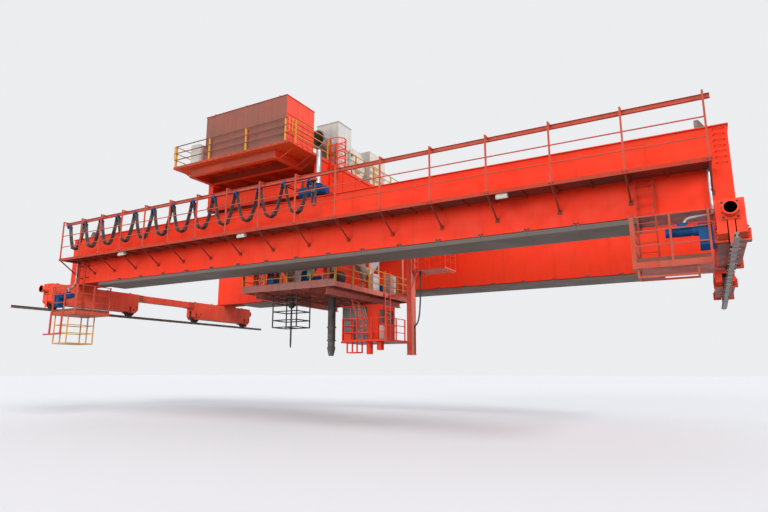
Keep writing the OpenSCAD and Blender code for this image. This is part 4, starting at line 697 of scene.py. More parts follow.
# Festoon: flat cables in nested loops, each loop stretched between two carriers
festoon = {
    "count": 11, "first": 0.5, "pitch": 1.45, "top": 4.88, "saddle": 0.09, "saddleSteps": 4, "y": -7.55,
    "depth": 1.40, "sag": 2.4, "steps": 26, "cableWidth": 0.036, "cableThick": 0.015, "cableGap": 0.008,
    "sideBySide": 5, "uneven": 0.022, "nested": 2, "nestedUp": 0.075, "nestedLift": 0.016,
    "straps": (0.32, 0.68), "strapHalf": (0.05, 0.117, 0.055), "strapUp": 0.03,
}


def cableSection(f):
    w, t = f["cableWidth"] / 2, f["cableThick"] / 2
    return [(-w, -t * 0.5), (-w * 0.8, -t), (w * 0.8, -t), (w, -t * 0.5),
            (w, t * 0.5), (w * 0.8, t), (-w * 0.8, t), (-w, t * 0.5)]


def sagAt(f, u, depth):
    return f["top"] - depth * (1 - abs(2 * u - 1) ** f["sag"])


def loopLine(f, x0, x1, depth):
    # over the first saddle, down, round and up over the next
    saddle, steps = f["saddle"], f["saddleSteps"]
    climb = [(saddle * math.cos(a), f["top"] + saddle * math.sin(a))
             for a in (math.pi / 2 * (1 - k / steps) for k in range(steps))]
    left, right = x0 + saddle, x1 - saddle
    hang = []
    for i in range(f["steps"] + 1):
        u = 0.5 - 0.5 * math.cos(math.pi * i / f["steps"])
        hang.append((left + (right - left) * u, sagAt(f, u, depth)))
    return [(x0 + x, z) for x, z in climb] + hang + [(x1 - x, z) for x, z in climb[::-1]]


def makeLoop(f, name, x0, x1, k, body=None):
    bm = bmesh.new()
    for layer in range(f["nested"]):
        for n in range(f["sideBySide"]):
            y = f["y"] + (n - (f["sideBySide"] - 1) / 2) * (f["cableWidth"] + f["cableGap"])
            # each cable hangs a little differently from the next
            depth = f["depth"] - f["nestedUp"] * layer - f["uneven"] * ((n * 7 + k * 3) % 4) / 3
            line = [(x, y, z - f["nestedLift"] * layer) for x, z in loopLine(f, x0, x1, depth)]
            sweep(bm, line, cableSection(f))
    for u in f["straps"]:       # these hold the bundle together
        x = x0 + f["saddle"] + (x1 - x0 - 2 * f["saddle"]) * u
        block(bm, (x, f["y"], sagAt(f, u, f["depth"]) + f["strapUp"]), f["strapHalf"], 0.012)
    return makePiece(name, body, "cableGrey", bm, True)


# Carriers: cheeks with two rollers on the cable rail, and the round saddle that the cables lie on
carrier = {
    "roller": [(0, -0.017), (0.017, -0.017), (0.022, -0.010), (0.022, 0.012), (0.010, 0.017), (0, 0.017)],
    "rollerX": 0.05, "rollerY": 0.036, "rollerZ": 0.188, "pin": (0.014, 0.012), "cheekY": (0.056, 0.068),
    "cheekZ": (0.04, 0.212), "drum": [(0, -0.12), (0.070, -0.12), (0.070, 0.12), (0, 0.12)], "drumZ": 0.005,
    "endY": (0.112, 0.120), "endZ": (-0.03, 0.105), "bridgeHalf": (0.075, 0.06), "bridgeZ": (0.03, 0.062),
}


def makeCarrier(c, x, y, top, name, body):
    bm = bmesh.new()
    (y0, y1), (z0, z1) = c["cheekY"], c["cheekZ"]
    for s in (-1, 1):
        slab(bm, (x - 0.08, y + s * y0, top + z0), (x + 0.08, y + s * y1, top + z1), 0.003)
        for e in (-1, 1):
            px, pz, (pin, thick) = x + e * c["rollerX"], top + c["rollerZ"], c["pin"]
            lathe(bm, c["roller"], (px, y + s * c["rollerY"], pz), "Y", 14)
            disc(bm, (px, y + s * y1 - thick / 2, pz), "Y", pin, thick, 8)
    lathe(bm, c["drum"], (x, y, top + c["drumZ"]), "Y", 20)
    (y0, y1), (z0, z1) = c["endY"], c["endZ"]
    for s in (-1, 1):
        slab(bm, (x - 0.09, y + s * y0, top + z0), (x + 0.09, y + s * y1, top + z1), 0.003)
    (hx, hy), (z0, z1) = c["bridgeHalf"], c["bridgeZ"]
    slab(bm, (x - hx, y - hy, top + z0), (x + hx, y + hy, top + z1), 0.004)
    return makePiece(name, body, "motorBlue", bm)


def makeFestoon(f, c):
    for k in range(1, f["count"] + 1):
        x0 = f["first"] + f["pitch"] * (k - 1)
        x1 = x0 + f["pitch"]
        loop = makeLoop(f, "cableLoop%d" % k, x0, x1, k)
        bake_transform(loop)
        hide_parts("festoon_%d" % k)
        makeCarrier(c, x1, f["y"], f["top"], "cableCarrier%d" % k, "carrier_%d" % k)
    makeCarrier(c, f["first"], f["y"], f["top"], "fixedCableClamp", "bridge")


makeFestoon(festoon, carrier)

# The trolley's own end of the festoon: a tow bar, one more loop and a narrow one, as the photo shows
towEnd = {
    "root": 16.45, "far": 17.92, "saddleDrop": 0.125, "barZ": (4.905, 4.965), "barHalf": 0.05,
    "narrow": (18.06, 18.20), "sway": [(0, 4.90), (0.01, 4.6), (-0.01, 4.2)], "bulge": 0.02, "narrowLow": 3.66,
    "uneven": 0.03, "turn": (0.18, 0.13, 0.10), "narrowCables": 4, "tieZ": (4.30, 4.38),
    "cables": (-0.035, 0.0, 0.035), "cableZ": 4.99, "cableRise": 0.01, "cableY": (-7.45, -7.0, -6.22, -6.17),
    "cableEnd": 5.5, "cableRadius": 0.014,
}


def makeTowEnd(f, c, t):
    makeLoop(f, "trolleyCableLoop", t["root"], t["far"], 12, "trolley")
    makeCarrier(c, t["far"], f["y"], f["top"] - t["saddleDrop"], "trolleyCableSaddle", "trolley")
    bm = bmesh.new()
    (x0, x1), (straight, middleUp, radius) = t["narrow"], t["turn"]
    middle, half = (x0 + x1) / 2, (x1 - x0) / 2 + t["bulge"]
    for n in range(t["narrowCables"]):
        y = f["y"] + (n - (t["narrowCables"] - 1) / 2) * (f["cableWidth"] + f["cableGap"])
        low = t["narrowLow"] + t["uneven"] * (n % 3)
        down = [*t["sway"], (-t["bulge"], low + straight)]
        bottom = [(middle + half * math.cos(a), y, low + middleUp + radius * math.sin(a))
                  for a in (math.pi * (1 + k / 8) for k in range(9))]
        line = [(x0 + x, y, z) for x, z in down] + bottom + [(x1 - x, y, z) for x, z in down[::-1]]
        sweep(bm, line, cableSection(f))
    slab(bm, (x0 - 0.03, f["y"] - 0.11, t["tieZ"][0]), (x1 + 0.03, f["y"] + 0.11, t["tieZ"][1]), 0.015)
    makePiece("towNarrowLoop", "trolley", "cableGrey", bm, True)
    bm = bmesh.new()
    (z0, z1), half = t["barZ"], t["barHalf"]
    slab(bm, (t["root"] - 0.05, f["y"] - half, z0), (x1 + 0.06, f["y"] + half, z1), 0.006)
    slab(bm, (x0 - 0.05, f["y"] - 0.12, 4.86), (x1 + 0.05, f["y"] + 0.12, z0 + 0.01), 0.006)
    makePiece("towBar", "trolley", "postRed", bm)
    lines, (*along, end) = [], t["cableY"]
    for k, e in enumerate(t["cables"]):
        x, z = t["root"] + e, t["cableZ"] + t["cableRise"] * k
        lines.append([(x, y, z) for y in along] + [(x, end, t["cableEnd"])])
    tubes("towCables", "trolley", lines, t["cableRadius"], "cableGrey", 0.05, 8)


makeTowEnd(festoon, carrier, towEnd)
print("festoon made")

# Girders: grab rungs, seam straps, rail clips and the conduits that run down to the travel motors
girderTrim = {
    "straps": 11, "strapFirst": 2.03, "strapPitch": 2.93, "strapHalf": 0.035, "strapThick": 0.006,
    "strapGap": (2.18, 3.04), "strapEnds": (0.04, 0.05),
    "rungs": 7, "rungX": (33.36, 33.66), "rungZ": (3.12, 4.28), "rungOut": 0.11, "rungRadius": 0.014,
    "railClips": {"x": (0.9, 32.6), "count": 52, "off": 0.085, "lift": 0.018, "size": (0.09, 0.055, 0.034),
                  "bolt": (0.032, 0.022)},
    "runwayClips": {"y": (-9.6, 9.6), "count": 31, "off": 0.1, "lift": 0.020, "size": (0.06, 0.11, 0.036),
                    "bolt": (0.036, 0.024)},
    "conduit": [(0.40, -6.77, 2.96), (0.40, -6.77, 1.75), (0.42, -7.05, 1.38),
                (0.55, -7.45, 1.30), (1.20, -7.62, 1.22), (1.22, -7.66, 1.06)],
    "conduitRadius": 0.048, "conduitBend": 0.22,
}


def clipRow(names, body, points, size, width, height):
    # rail clips with a bolt on each
    blocks(names[0], body, [(p, (0, 0, 1)) for p in points], size, "railSteel")
    tops = [((x, y, z + size[2] / 2), (0, 0, 1)) for x, y, z in points]
    bolts(names[1], body, tops, "darkSteel", width, height)


def makeGirderTrim(g, c):
    bm = bmesh.new()
    for k in range(g["straps"]):
        x = g["strapFirst"] + g["strapPitch"] * k
        for s in (-1, 1):
            for y, out in ((c["webOut"], 1), (c["webIn"], -1)):
                for low, high in ((c["girderLow"] + g["strapEnds"][0], g["strapGap"][0]),
                                  (g["strapGap"][1], c["girderTop"] - g["strapEnds"][1])):
                    slab(bm, (x - g["strapHalf"], s * y, low),
                         (x + g["strapHalf"], s * (y + out * g["strapThick"]), high), 0.002)
    makePiece("girderSeamStraps", "bridge", "girderRed", bm)
    web, out = 0.01 - c["webOut"], -c["webOut"] - g["rungOut"]
    x0, x1 = g["rungX"]
    lines = [[(x0, web, z), (x0, out, z + 0.02), (x1, out, z + 0.02), (x1, web, z)]
             for z in rows(*g["rungZ"], g["rungs"])]
    tubes("girderGrabRungs", "bridge", lines, g["rungRadius"], "craneRed", 0.07)
    clips = g["railClips"]
    clipRow(("trolleyRailClips", "trolleyRailBolts"), "bridge",
            [(x, s * c["girderY"] + e * clips["off"], c["girderTop"] + clips["lift"])
             for x in rows(*clips["x"], clips["count"]) for s in (-1, 1) for e in (-1, 1)],
            clips["size"], *clips["bolt"])
    clips = g["runwayClips"]
    clipRow(("runwayRailClips", "runwayRailBolts"), "runway",
            [(x + e * clips["off"], y, clips["lift"]) for x in (0, c["span"])
             for y in rows(*clips["y"], clips["count"]) for e in (-1, 1)], clips["size"], *clips["bolt"])
    for name, mirrored in (("leftConduit", False), ("rightConduit", True)):
        line = [(c["span"] - x if mirrored else x, y, z) for x, y, z in g["conduit"]]
        tubes(name, "bridge", [line], g["conduitRadius"], "galvanised", g["conduitBend"], 14)


makeGirderTrim(girderTrim, crane)

# Floodlights under the walkway: pale housings with cooling fins and a glass front
lampBoxes = {
    "x": (postX[3] + 0.11, postX[7] + 0.96, postX[13] + 0.52), "y": -7.70, "z": 2.80, "half": 0.205,
    "outline": [(-0.064, 0.104), (0.074, 0.104), (0.125, -0.041), (-0.104, -0.114), (-0.126, -0.060)],
    "pane": [(0.108, -0.052), (-0.088, -0.114)], "paneHalf": 0.175, "paneThick": 0.008,
    "fins": 7, "finSpan": 0.15, "finHalf": (0.006, 0.06), "finZ": (0.10, 0.13),
}


def makeLampBoxes(lamp):
    shell, glass = bmesh.new(), bmesh.new()
    y, z, (hx, hy) = lamp["y"], lamp["z"], lamp["finHalf"]
    pane = [(y + a, z + b) for a, b in lamp["pane"]]
    pane += [(a, b - lamp["paneThick"]) for a, b in pane[::-1]]
    for x in lamp["x"]:
        prism(shell, [(y + a, z + b) for a, b in lamp["outline"]], x - lamp["half"], x + lamp["half"])
        for fin in rows(x - lamp["finSpan"], x + lamp["finSpan"], lamp["fins"]):
            slab(shell, (fin - hx, y - hy, z + lamp["finZ"][0]), (fin + hx, y + hy, z + lamp["finZ"][1]))
        prism(glass, pane, x - lamp["paneHalf"], x + lamp["paneHalf"])
    makePiece("floodlightHousings", "bridge", "housingGrey", shell)
    makePiece("floodlightGlass", "bridge", "lampGlass", glass)


makeLampBoxes(lampBoxes)

# End trucks: bearing flanges, lugs, buffer pads and rows of bolts
truckTrim = {
    "faceX": 0.38, "axleZ": 0.50, "flangeThick": 0.02, "cheekY": (0.185, 0.27), "cheekZ": (-0.10, 0.26),
    "capZ": 0.185, "flangeBoltY": 0.225, "flangeBoltZ": (-0.06, 0.22), "lugY": (2.75, 7.6), "lugs": 4,
    "lugHalf": (0.02, 0.08), "lugHigh": 0.10, "bufferOut": 0.38, "bufferDrop": 0.34, "pad": (0.17, 0.012),
    "spliceX": 0.30, "spliceY": (2.0, 2.28), "spliceZ": (1.20, 1.34, 1.48),
    "endX": 0.19, "endOut": 0.05, "endZ": (0.99, 1.44), "bolt": (0.046, 0.026),
}


def makeTruckTrim(t, c):
    bm, pads, places = bmesh.new(), bmesh.new(), []
    (near, far), (low, high) = t["cheekY"], [t["axleZ"] + z for z in t["cheekZ"]]
    (lx, ly), top, (padRadius, padThick) = t["lugHalf"], c["truckZ"][1], t["pad"]
    for x in (0, c["span"]):
        for y in c["wheelY"]:
            for e in (-1, 1):
                face = x + e * t["faceX"]
                outer = face + e * t["flangeThick"]
                for s in (-1, 1):
                    slab(bm, (face, y + s * near, low), (outer, y + s * far, high), 0.004)
                    places += [((outer, y + s * t["flangeBoltY"], t["axleZ"] + z), (e, 0, 0))
                               for z in rows(*t["flangeBoltZ"], 4)]
                slab(bm, (face, y - far, t["axleZ"] + t["capZ"]), (outer, y + far, high), 0.004)
        for s in (-1, 1):
            for y in rows(*t["lugY"], t["lugs"]):
                slab(bm, (x - lx, s * y - ly, top), (x + lx, s * y + ly, top + t["lugHigh"]), 0.02)
            pad = s * (c["truckY"][1] + t["bufferOut"]) - (padThick if s > 0 else 0)
            disc(pads, (x, pad, top - t["bufferDrop"]), "Y", padRadius, padThick, 24)
            for e in (-1, 1):                 # splice plates between the boxes and the link beam
                places += [((x + e * t["spliceX"], s * y, z), (e, 0, 0))
                           for y in rows(*t["spliceY"], 4) for z in t["spliceZ"]]
            end = s * (c["truckY"][1] + t["endOut"])
            places += [((x + e * t["endX"], end, z), (0, s, 0)) for e in (-1, 1) for z in rows(*t["endZ"], 4)]
    makePiece("truckFittings", "bridge", "truckRed", bm)
    makePiece("bufferPads", "bridge", "cableGrey", pads)
    bolts("truckBolts", "bridge", places, "darkSteel", *t["bolt"])


makeTruckTrim(truckTrim, crane)
print("girder and truck fittings made")

# Walkways: bolts at every post, brace and shield bracket
walkTrim = {
    "footIn": 0.09, "braceOut": 0.04, "braceZ": (2.15, 2.22), "edgeZ": 2.95, "pair": 0.045, "widePair": 0.06,
    "shields": 15, "shieldFirst": 2.6, "shieldPitch": 1.756, "shieldOut": 0.85, "shieldZ": 1.70,
    "bolt": (0.036, 0.020),
}


def makeWalkwayBolts(w, c):
    places = []
    near, wide = (-w["pair"], w["pair"]), (-w["widePair"], w["widePair"])
    for x in postX:
        places += [((x + e, w["footIn"] - c["walkOut"], c["walkZ"] + 0.02), (0, 0, 1)) for e in near]
        for s in (-1, 1):
            places += [((x + e, s * (c["webOut"] + w["braceOut"]), z), (0, s, 0))
                       for e in near for z in w["braceZ"]]
            places += [((x + e, s * c["walkOut"], w["edgeZ"]), (0, s, 0)) for e in wide]
    for k in range(1, w["shields"] + 1):
        x = w["shieldFirst"] + w["shieldPitch"] * k
        for s in (-1, 1):
            places += [((x + d, s * (c["girderY"] + e * w["shieldOut"]), w["shieldZ"]), (0, s * e, 0))
                       for d in wide for e in (-1, 1)]
    bolts("walkwayBolts", "bridge", places, "darkSteel", *w["bolt"])


makeWalkwayBolts(walkTrim, crane)

# Drive platforms: kick plates, and a bent end that closes each railing
platformTrim = {
    "ends": ((0.5, 2.7), (30.8, 33.0)), "kickY": -8.095, "kickThick": 0.010, "kickZ": (-0.10, 0.02),
    "innerY": (-8.05, -6.10), "inset": 0.05, "railX": (0.55, 32.95), "railY": -8.07, "railZ": (1.33, 0.88),
    "railReach": 0.20, "railRadius": 0.018,
}


def railEnd(place, reach, heights):
    # the tube that joins the ends of two rails: out, down and back
    (x, y), (dx, dy), (high, low) = place, reach, heights
    return [(x, y, high), (x + dx, y + dy, high), (x + dx, y + dy, low), (x, y, low)]


def makePlatformTrim(p):
    bm = bmesh.new()
    z0, z1 = p["kickZ"]
    for (x0, x1), inner in zip(p["ends"], (p["ends"][0][1] - 0.02, p["ends"][1][0] + 0.01)):
        slab(bm, (x0 + p["inset"], p["kickY"], z0), (x1 - p["inset"], p["kickY"] + p["kickThick"], z1))
        slab(bm, (inner, p["innerY"][0], z0), (inner + p["kickThick"], p["innerY"][1], z1))
    makePiece("platformKickPlates", "bridge", "oxideBrown", bm)
    lines = [railEnd((x, p["railY"]), (e * p["railReach"], 0), p["railZ"])
             for x, e in zip(p["railX"], (-1, 1))]
    tubes("platformRailEnds", "bridge", lines, p["railRadius"], "postRed", 0.16)


makePlatformTrim(platformTrim)
print("walkways and platforms fitted out")

# Electric motors get a fan cowl, a lifting eye, a terminal box lid and their supply hose
motors = {
    "right": {"start": (32.65, -7.75, 0.80), "toward": -1, "length": 0.9, "width": 0.33, "body": "bridge",
              "supply": [(32.28, -7.66, 1.06), (32.28, -7.70, 0.99)]},
    "left": {"start": (0.85, -7.75, 0.80), "toward": 1, "length": 0.9, "width": 0.33, "body": "bridge",
             "supply": [(1.22, -7.66, 1.06), (1.22, -7.70, 0.99)]},
    "trolleyNear": {"start": (17.22, -6.36, 4.82), "toward": 1, "length": 0.76, "width": 0.40,
                    "body": "trolley",
                    "supply": [(17.55, -6.36, 5.04), (17.50, -6.38, 5.30), (17.40, -6.40, 5.60)]},
    "trolleyFar": {"start": (17.22, 6.36, 4.82), "toward": 1, "length": 0.76, "width": 0.40,
                   "body": "trolley",
                   "supply": [(17.55, 6.36, 5.04), (17.50, 6.30, 5.30), (17.40, 6.20, 5.60)]},
}
# Lengths along the motor and radii here are shares of its length and radius, but for the plain metres
motorTrim = {
    "flangeMetres": 0.025, "flange": 1.12, "cowlAt": (0.735, 0.755), "cowl": 1.03,
    "grilleWires": 9, "grille": (0.25, 0.86), "grilleRings": (0.3, 0.58, 0.86), "wireMetres": 0.007,
    "eyeAt": 0.12, "eyeMetres": (0.035, 0.009), "lidAt": (0.30, 0.64), "lidHalf": 0.64, "lidUp": 1.46,
    "lidBoltAt": (0.33, 0.61), "lidBoltOff": 0.55, "bolts": 8, "boltTurn": 0.2, "bolt": (0.026, 0.014),
    "hoseMetres": 0.020,
}


def makeMotorTrim(name, m, t):
    bm, places = bmesh.new(), []
    (x0, y, z), e, long, r = m["start"], m["toward"], m["length"], m["width"] / 2

    def band(a, b, radius):
        disc(bm, (min(x0 + e * a, x0 + e * b), y, z), "X", radius, abs(b - a), 28)

    band(0, t["flangeMetres"], r * t["flange"])
    band(long * t["cowlAt"][0], long * t["cowlAt"][1], r * t["cowl"])
    end = x0 + e * long
    inner, outer = [circle(r * share, t["grilleWires"]) for share in t["grille"]]
    for (ya, za), (yb, zb) in zip(inner, outer):
        rod(bm, (end, y + ya, z + za), (end, y + yb, z + zb), t["wireMetres"], 6)
    for share in t["grilleRings"]:
        hoop(bm, end, y, z, r * share, 24, circle(0.006, 6))
    radius, wire = t["eyeMetres"]
    hoop(bm, x0 + e * long * t["eyeAt"], y, z + r + 0.030, radius, 16, circle(wire, 8))
    lid = z + r * t["lidUp"]
    slab(bm, (x0 + e * long * t["lidAt"][0], y - r * t["lidHalf"], lid - 0.02),
         (x0 + e * long * t["lidAt"][1], y + r * t["lidHalf"], lid + 0.012), 0.006)
    places += [((x0 + e * t["flangeMetres"], y + a, z + b), (e, 0, 0))
               for a, b in circle(r, t["bolts"], t["boltTurn"])]
    places += [((x0 + e * long * u, y + s * r * t["lidBoltOff"], lid + 0.012), (0, 0, 1))
               for u in t["lidBoltAt"] for s in (-1, 1)]
    makePiece(name + "MotorTrim", m["body"], "motorBlue", bm)
    bolts(name + "MotorBolts", m["body"], places, "darkSteel", *t["bolt"])
    tubes(name + "MotorSupply", m["body"], [m["supply"]], t["hoseMetres"], "cableBlack", 0.06)


for motorName, motor in motors.items():
    makeMotorTrim(motorName, motor, motorTrim)
print("motors fitted out")

# Deck railings: a bent end where each railing stops, on the upper and the lower deck
railLoops = {
    "upper": [((17.19, -8.45), (0.20, 0)), ((10.17, -8.45), (-0.08, 0)), ((17.40, -8.05), (0, -0.20)),
              ((17.40, -5.505), (0, 0.20)), ((17.40, -4.895), (0, -0.20)), ((17.40, 6.57), (0, 0.04))],
    "upperZ": (7.68, 6.97),
    "lower": [((17.56, -4.86), (0, -0.14)), ((17.56, 2.80), (0, 0.08)), ((11.84, -4.86), (0, -0.14))],
    "lowerZ": (1.88, 1.20), "radius": 0.018, "bend": 0.14,
}


def makeRailLoops(r):
    lines = [railEnd(place, reach, r["upperZ"]) for place, reach in r["upper"]]
    lines += [railEnd(place, reach, r["lowerZ"]) for place, reach in r["lower"]]
    tubes("railLoops", "trolley", lines, r["radius"], "railYellow", r["bend"])


makeRailLoops(railLoops)

# Dust box: lifting lugs, door seams on its left face and bolts; the deck's edge is bolted too
dustTrim = {
    "lugX": (12.6, 16.6), "lugs": 3, "lugY": (-8.20, -6.42), "lugHalf": (0.015, 0.07), "lugZ": (8.87, 8.99),
    "faceX": 12.100, "seamOut": 12.122, "hingeZ": (6.78, 8.10), "hinges": 5, "hingeY": (-8.15, -6.45),
    "postY": (-8.18, -7.32, -6.44), "postZ": (6.75, 8.70), "boltX": (12.25, 16.97), "boltY": (-8.30, -6.31),
    "boltZ": 8.875, "edgeZ": 6.54, "edgeX": (10.5, 17.2), "edgeY": (-8.3, -5.7), "corner": (17.45, -8.5),
    "bolt": (0.040, 0.020),
}


def makeDustTrim(d):
    bm = bmesh.new()
    (hx, hy), (x0, x1) = d["lugHalf"], (d["faceX"], d["seamOut"])
    for x in rows(*d["lugX"], d["lugs"]):
        for y in d["lugY"]:
            slab(bm, (x - hx, y - hy, d["lugZ"][0]), (x + hx, y + hy, d["lugZ"][1]), 0.02)
    for z in rows(*d["hingeZ"], d["hinges"]):
        slab(bm, (x0 + 0.005, d["hingeY"][0], z - 0.008), (x1, d["hingeY"][1], z + 0.008))
    for y in d["postY"]:
        slab(bm, (x0, y - 0.02, d["postZ"][0]), (x1, y + 0.02, d["postZ"][1]), 0.004)
    makePiece("dustBoxFittings", "trolley", "dustBrown", bm)
    places = [((x, y, d["boltZ"]), (0, 0, 1)) for x in rows(*d["boltX"], 14) for y in d["boltY"]]
    places += [((x, d["corner"][1], d["edgeZ"]), (0, -1, 0)) for x in rows(*d["edgeX"], 18)]
    places += [((d["corner"][0], y, d["edgeZ"]), (1, 0, 0)) for y in rows(*d["edgeY"], 8)]
    bolts("deckBolts", "trolley", places, "oxideBrown", *d["bolt"])


makeDustTrim(dustTrim)

# Web stiffeners of the two cross girders, left out where another piece is in the way
stiffeners = {
    "webs": [(10.19, -1, (-5.4, 5.4, 10), 5.09, ()), (17.41, 1, (-5.4, 5.4, 10), 5.09, ((5.2, 0.5),)),
             (10.53, 1, (-4.9, 5.4, 9), 5.60, ((-4.5, 0.25), (2.4, 0.25))),
             (17.07, -1, (-4.9, 5.4, 9), 5.60, ((-4.5, 0.25), (2.4, 0.25)))],
    "top": 6.44, "out": 0.034, "half": 0.007,
}


def makeStiffeners(s):
    bm = bmesh.new()
    for x, out, places, low, taken in s["webs"]:
        for y in rows(*places):
            if all(abs(y - at) > room for at, room in taken):
                slab(bm, (x, y - s["half"], low), (x + out * s["out"], y + s["half"], s["top"]))
    makePiece("crossGirderStiffeners", "trolley", "craneRed", bm)


makeStiffeners(stiffeners)

# Air unit: seams round its panels and one field of louvres
airTrim = {
    "low": (15.95, -4.49, 6.69), "high": (17.30, -3.31, 9.05), "uprights": (0.02, 0.012),
    "bands": (0.02, 0.014), "bandZ": (0.03, 1.12), "topBand": 0.04, "louvres": 11, "louvreZ": (0.20, 0.95),
    "louvreShift": 0.29, "louvre": (0.50, 0.055, 0.010), "louvreFacing": (0.8, 0, -0.6),
}


def makeAirTrim(a):
    (x0, y0, z0), (x1, y1, z1) = a["low"], a["high"]
    bm, middle, (half, thick) = bmesh.new(), (y0 + y1) / 2, a["uprights"]
    for y in (y0 + half, middle, y1 - half):
        slab(bm, (x1, y - half, z0 + 0.02), (x1 + thick, y + half, z1 - 0.03), 0.003)
    half, thick = a["bands"]
    for z in (z0 + a["bandZ"][0], z0 + a["bandZ"][1], z1 - a["topBand"]):
        slab(bm, (x1, y0, z - half), (x1 + thick, y1, z + half), 0.003)
        slab(bm, (x0, y0 - 0.012, z - half), (x1, y0, z + half), 0.003)
    makePiece("airUnitSeams", "trolley", "housingGrey", bm)
    slats = [((x1 + 0.012, middle + a["louvreShift"], z), a["louvreFacing"])
             for z in rows(z0 + a["louvreZ"][0], z0 + a["louvreZ"][1], a["louvres"])]
    blocks("airUnitLouvres", "trolley", slats, a["louvre"], "housingGrey")


makeAirTrim(airTrim)

# Fan: rims on both sides of the snail housing, an inlet ring with its guard, and the motor behind
fanTrim = {
    "middle": (16.70, -2.24, 7.457), "radius": 0.85, "half": 0.30,
    "snail": (15, 346, 11), "grows": (0.62, 0.38),
    "rim": [(-0.014, -0.03), (0.014, -0.03), (0.014, 0.03), (-0.014, 0.03)], "rimBolts": 0.99,
    "inlet": ((0.44, 0.0), (0.36, 0.108)), "inletTube": 0.018, "guard": (8, 0.34, 0.12, 0.009),
    "motor": [(0, 0), (0.16, 0), (0.16, 0.42), (0.12, 0.50), (0, 0.50)], "motorBehind": 0.50,
    "bolt": (0.026, 0.014),
}


def makeFanTrim(f):
    (x, y, z), bm, places = f["middle"], bmesh.new(), []
    for side in (-1, 1):
        outline = []
        for step in range(*f["snail"]):
            angle = math.radians(90 + step)
            r = f["radius"] * (f["grows"][0] + f["grows"][1] * step / 360)
            outline.append((x + side * f["half"], y + r * math.cos(angle), z + r * math.sin(angle)))
        sweep(bm, outline, f["rim"])
        share = f["rimBolts"]
        places += [((a + side * 0.014, y + (b - y) * share, z + (c - z) * share), (side, 0, 0))
                   for a, b, c in outline[::2]]
    for radius, out in f["inlet"]:
        hoop(bm, x + f["half"] + out, y, z, radius, 36, circle(f["inletTube"], 8))
    count, reach, out, wire = f["guard"]
    for a, b in circle(reach, count):
        rod(bm, (x + f["half"] + out, y, z), (x + f["half"] + out, y + a, z + b), wire, 6)
    lathe(bm, f["motor"], (x - f["half"] - f["motorBehind"], y, z), "X", 24)
    makePiece("fanFittings", "trolley", "fanCream", bm)
    bolts("fanBolts", "trolley", places, "darkSteel", *f["bolt"])


makeFanTrim(fanTrim)

# White cabinet: two doors with handles and louvres
cabinetTrim = {
    "low": (16.50, -1.36, 6.6), "high": (17.30, 0.29, 8.55), "gap": 0.01, "edge": 0.04, "doorZ": (0.08, 0.05),
    "doorThick": 0.022, "handleZ": (0.95, 1.12), "handleIn": 0.08, "handleOut": 0.045, "louvres": 7,
    "louvreZ": 0.20, "louvrePitch": 0.05, "louvre": (0.46, 0.034, 0.008), "louvreFacing": (0.8, 0, -0.6),
}


def makeCabinetTrim(c):
    (_, y0, z0), (x, y1, z1) = c["low"], c["high"]
    bm, slats, middle = bmesh.new(), [], (y0 + y1) / 2
    for ya, yb in ((y0 + c["edge"], middle - c["gap"]), (middle + c["gap"], y1 - c["edge"])):
        slab(bm, (x, ya, z0 + c["doorZ"][0]), (x + c["doorThick"], yb, z1 - c["doorZ"][1]), 0.006)
        grip, out, (low, high) = yb - c["handleIn"], x + c["handleOut"], c["handleZ"]
        rod(bm, (out, grip, z0 + low), (out, grip, z0 + high), 0.010)
        for z in (z0 + low + 0.01, z0 + high - 0.03):
            slab(bm, (x + 0.02, grip - 0.01, z), (out, grip + 0.01, z + 0.02))
        slats += [((x + 0.024, (ya + yb) / 2, z0 + c["louvreZ"] + c["louvrePitch"] * k), c["louvreFacing"])
                  for k in range(c["louvres"])]
    makePiece("cabinetDoors", "trolley", "fanCream", bm)
    blocks("cabinetLouvres", "trolley", slats, c["louvre"], "fanCream")


makeCabinetTrim(cabinetTrim)
print("upper deck fitted out")

# Lower deck: a dark tank on two saddles
tank = {
    "middle": (16.05, -2.75, 1.35), "radius": 0.34, "length": 1.10,
    "domes": ((0, 0), (0.55, 0.02), (0.9, 0.08)), "shoulder": 0.17,
    "saddleIn": 0.24, "saddleHalf": (0.05, 0.30), "floor": 0.80, "strap": (0.006, 0.035),
    "flange": (0.13, 0.05),
}


def makeTank(t):
    (x, y, z), radius, length = t["middle"], t["radius"], t["length"]
    bm, end, (thick, wide), (hx, hy) = bmesh.new(), x - length / 2, t["strap"], t["saddleHalf"]
    dome = [(radius * share, h) for share, h in t["domes"]] + [(radius, t["shoulder"])]
    band = [(-thick, -wide), (thick, -wide), (thick, wide), (-thick, wide)]
    lathe(bm, dome + [(r, length - h) for r, h in dome[::-1]], (end, y, z), "X", 36)
    for at in (end + t["saddleIn"], end + length - t["saddleIn"]):
        slab(bm, (at - hx, y - hy, t["floor"]), (at + hx, y + hy, z - 0.10), 0.01)
        hoop(bm, at, y, z, radius + 0.004, 32, band)
    disc(bm, (x, y, z + radius - 0.01), "Z", *t["flange"], 24)
    makePiece("pressureTank", "trolley", "darkSteel", bm)


makeTank(tank)

# Gas bottles and the rack that holds them
gas = {
    "places": ((12.35, -3.55), (12.62, -3.62), (12.88, -3.52)), "floor": 0.80,
    "bottle": [(0, 0), (0.105, 0), (0.115, 0.02), (0.115, 1.18), (0.10, 1.28), (0.05, 1.36), (0.03, 1.38),
               (0.03, 1.46), (0, 1.46)],
    "barZ": (1.15, 1.80), "barHigh": 0.05, "barX": (12.22, 13.02), "barY": (-3.78, -3.745),
    "forkX": (12.22, 12.49, 12.76, 13.0), "forkY": (-3.76, -3.42), "legX": (12.24, 13.0), "legY": -3.80,
    "legTop": 1.98,
}


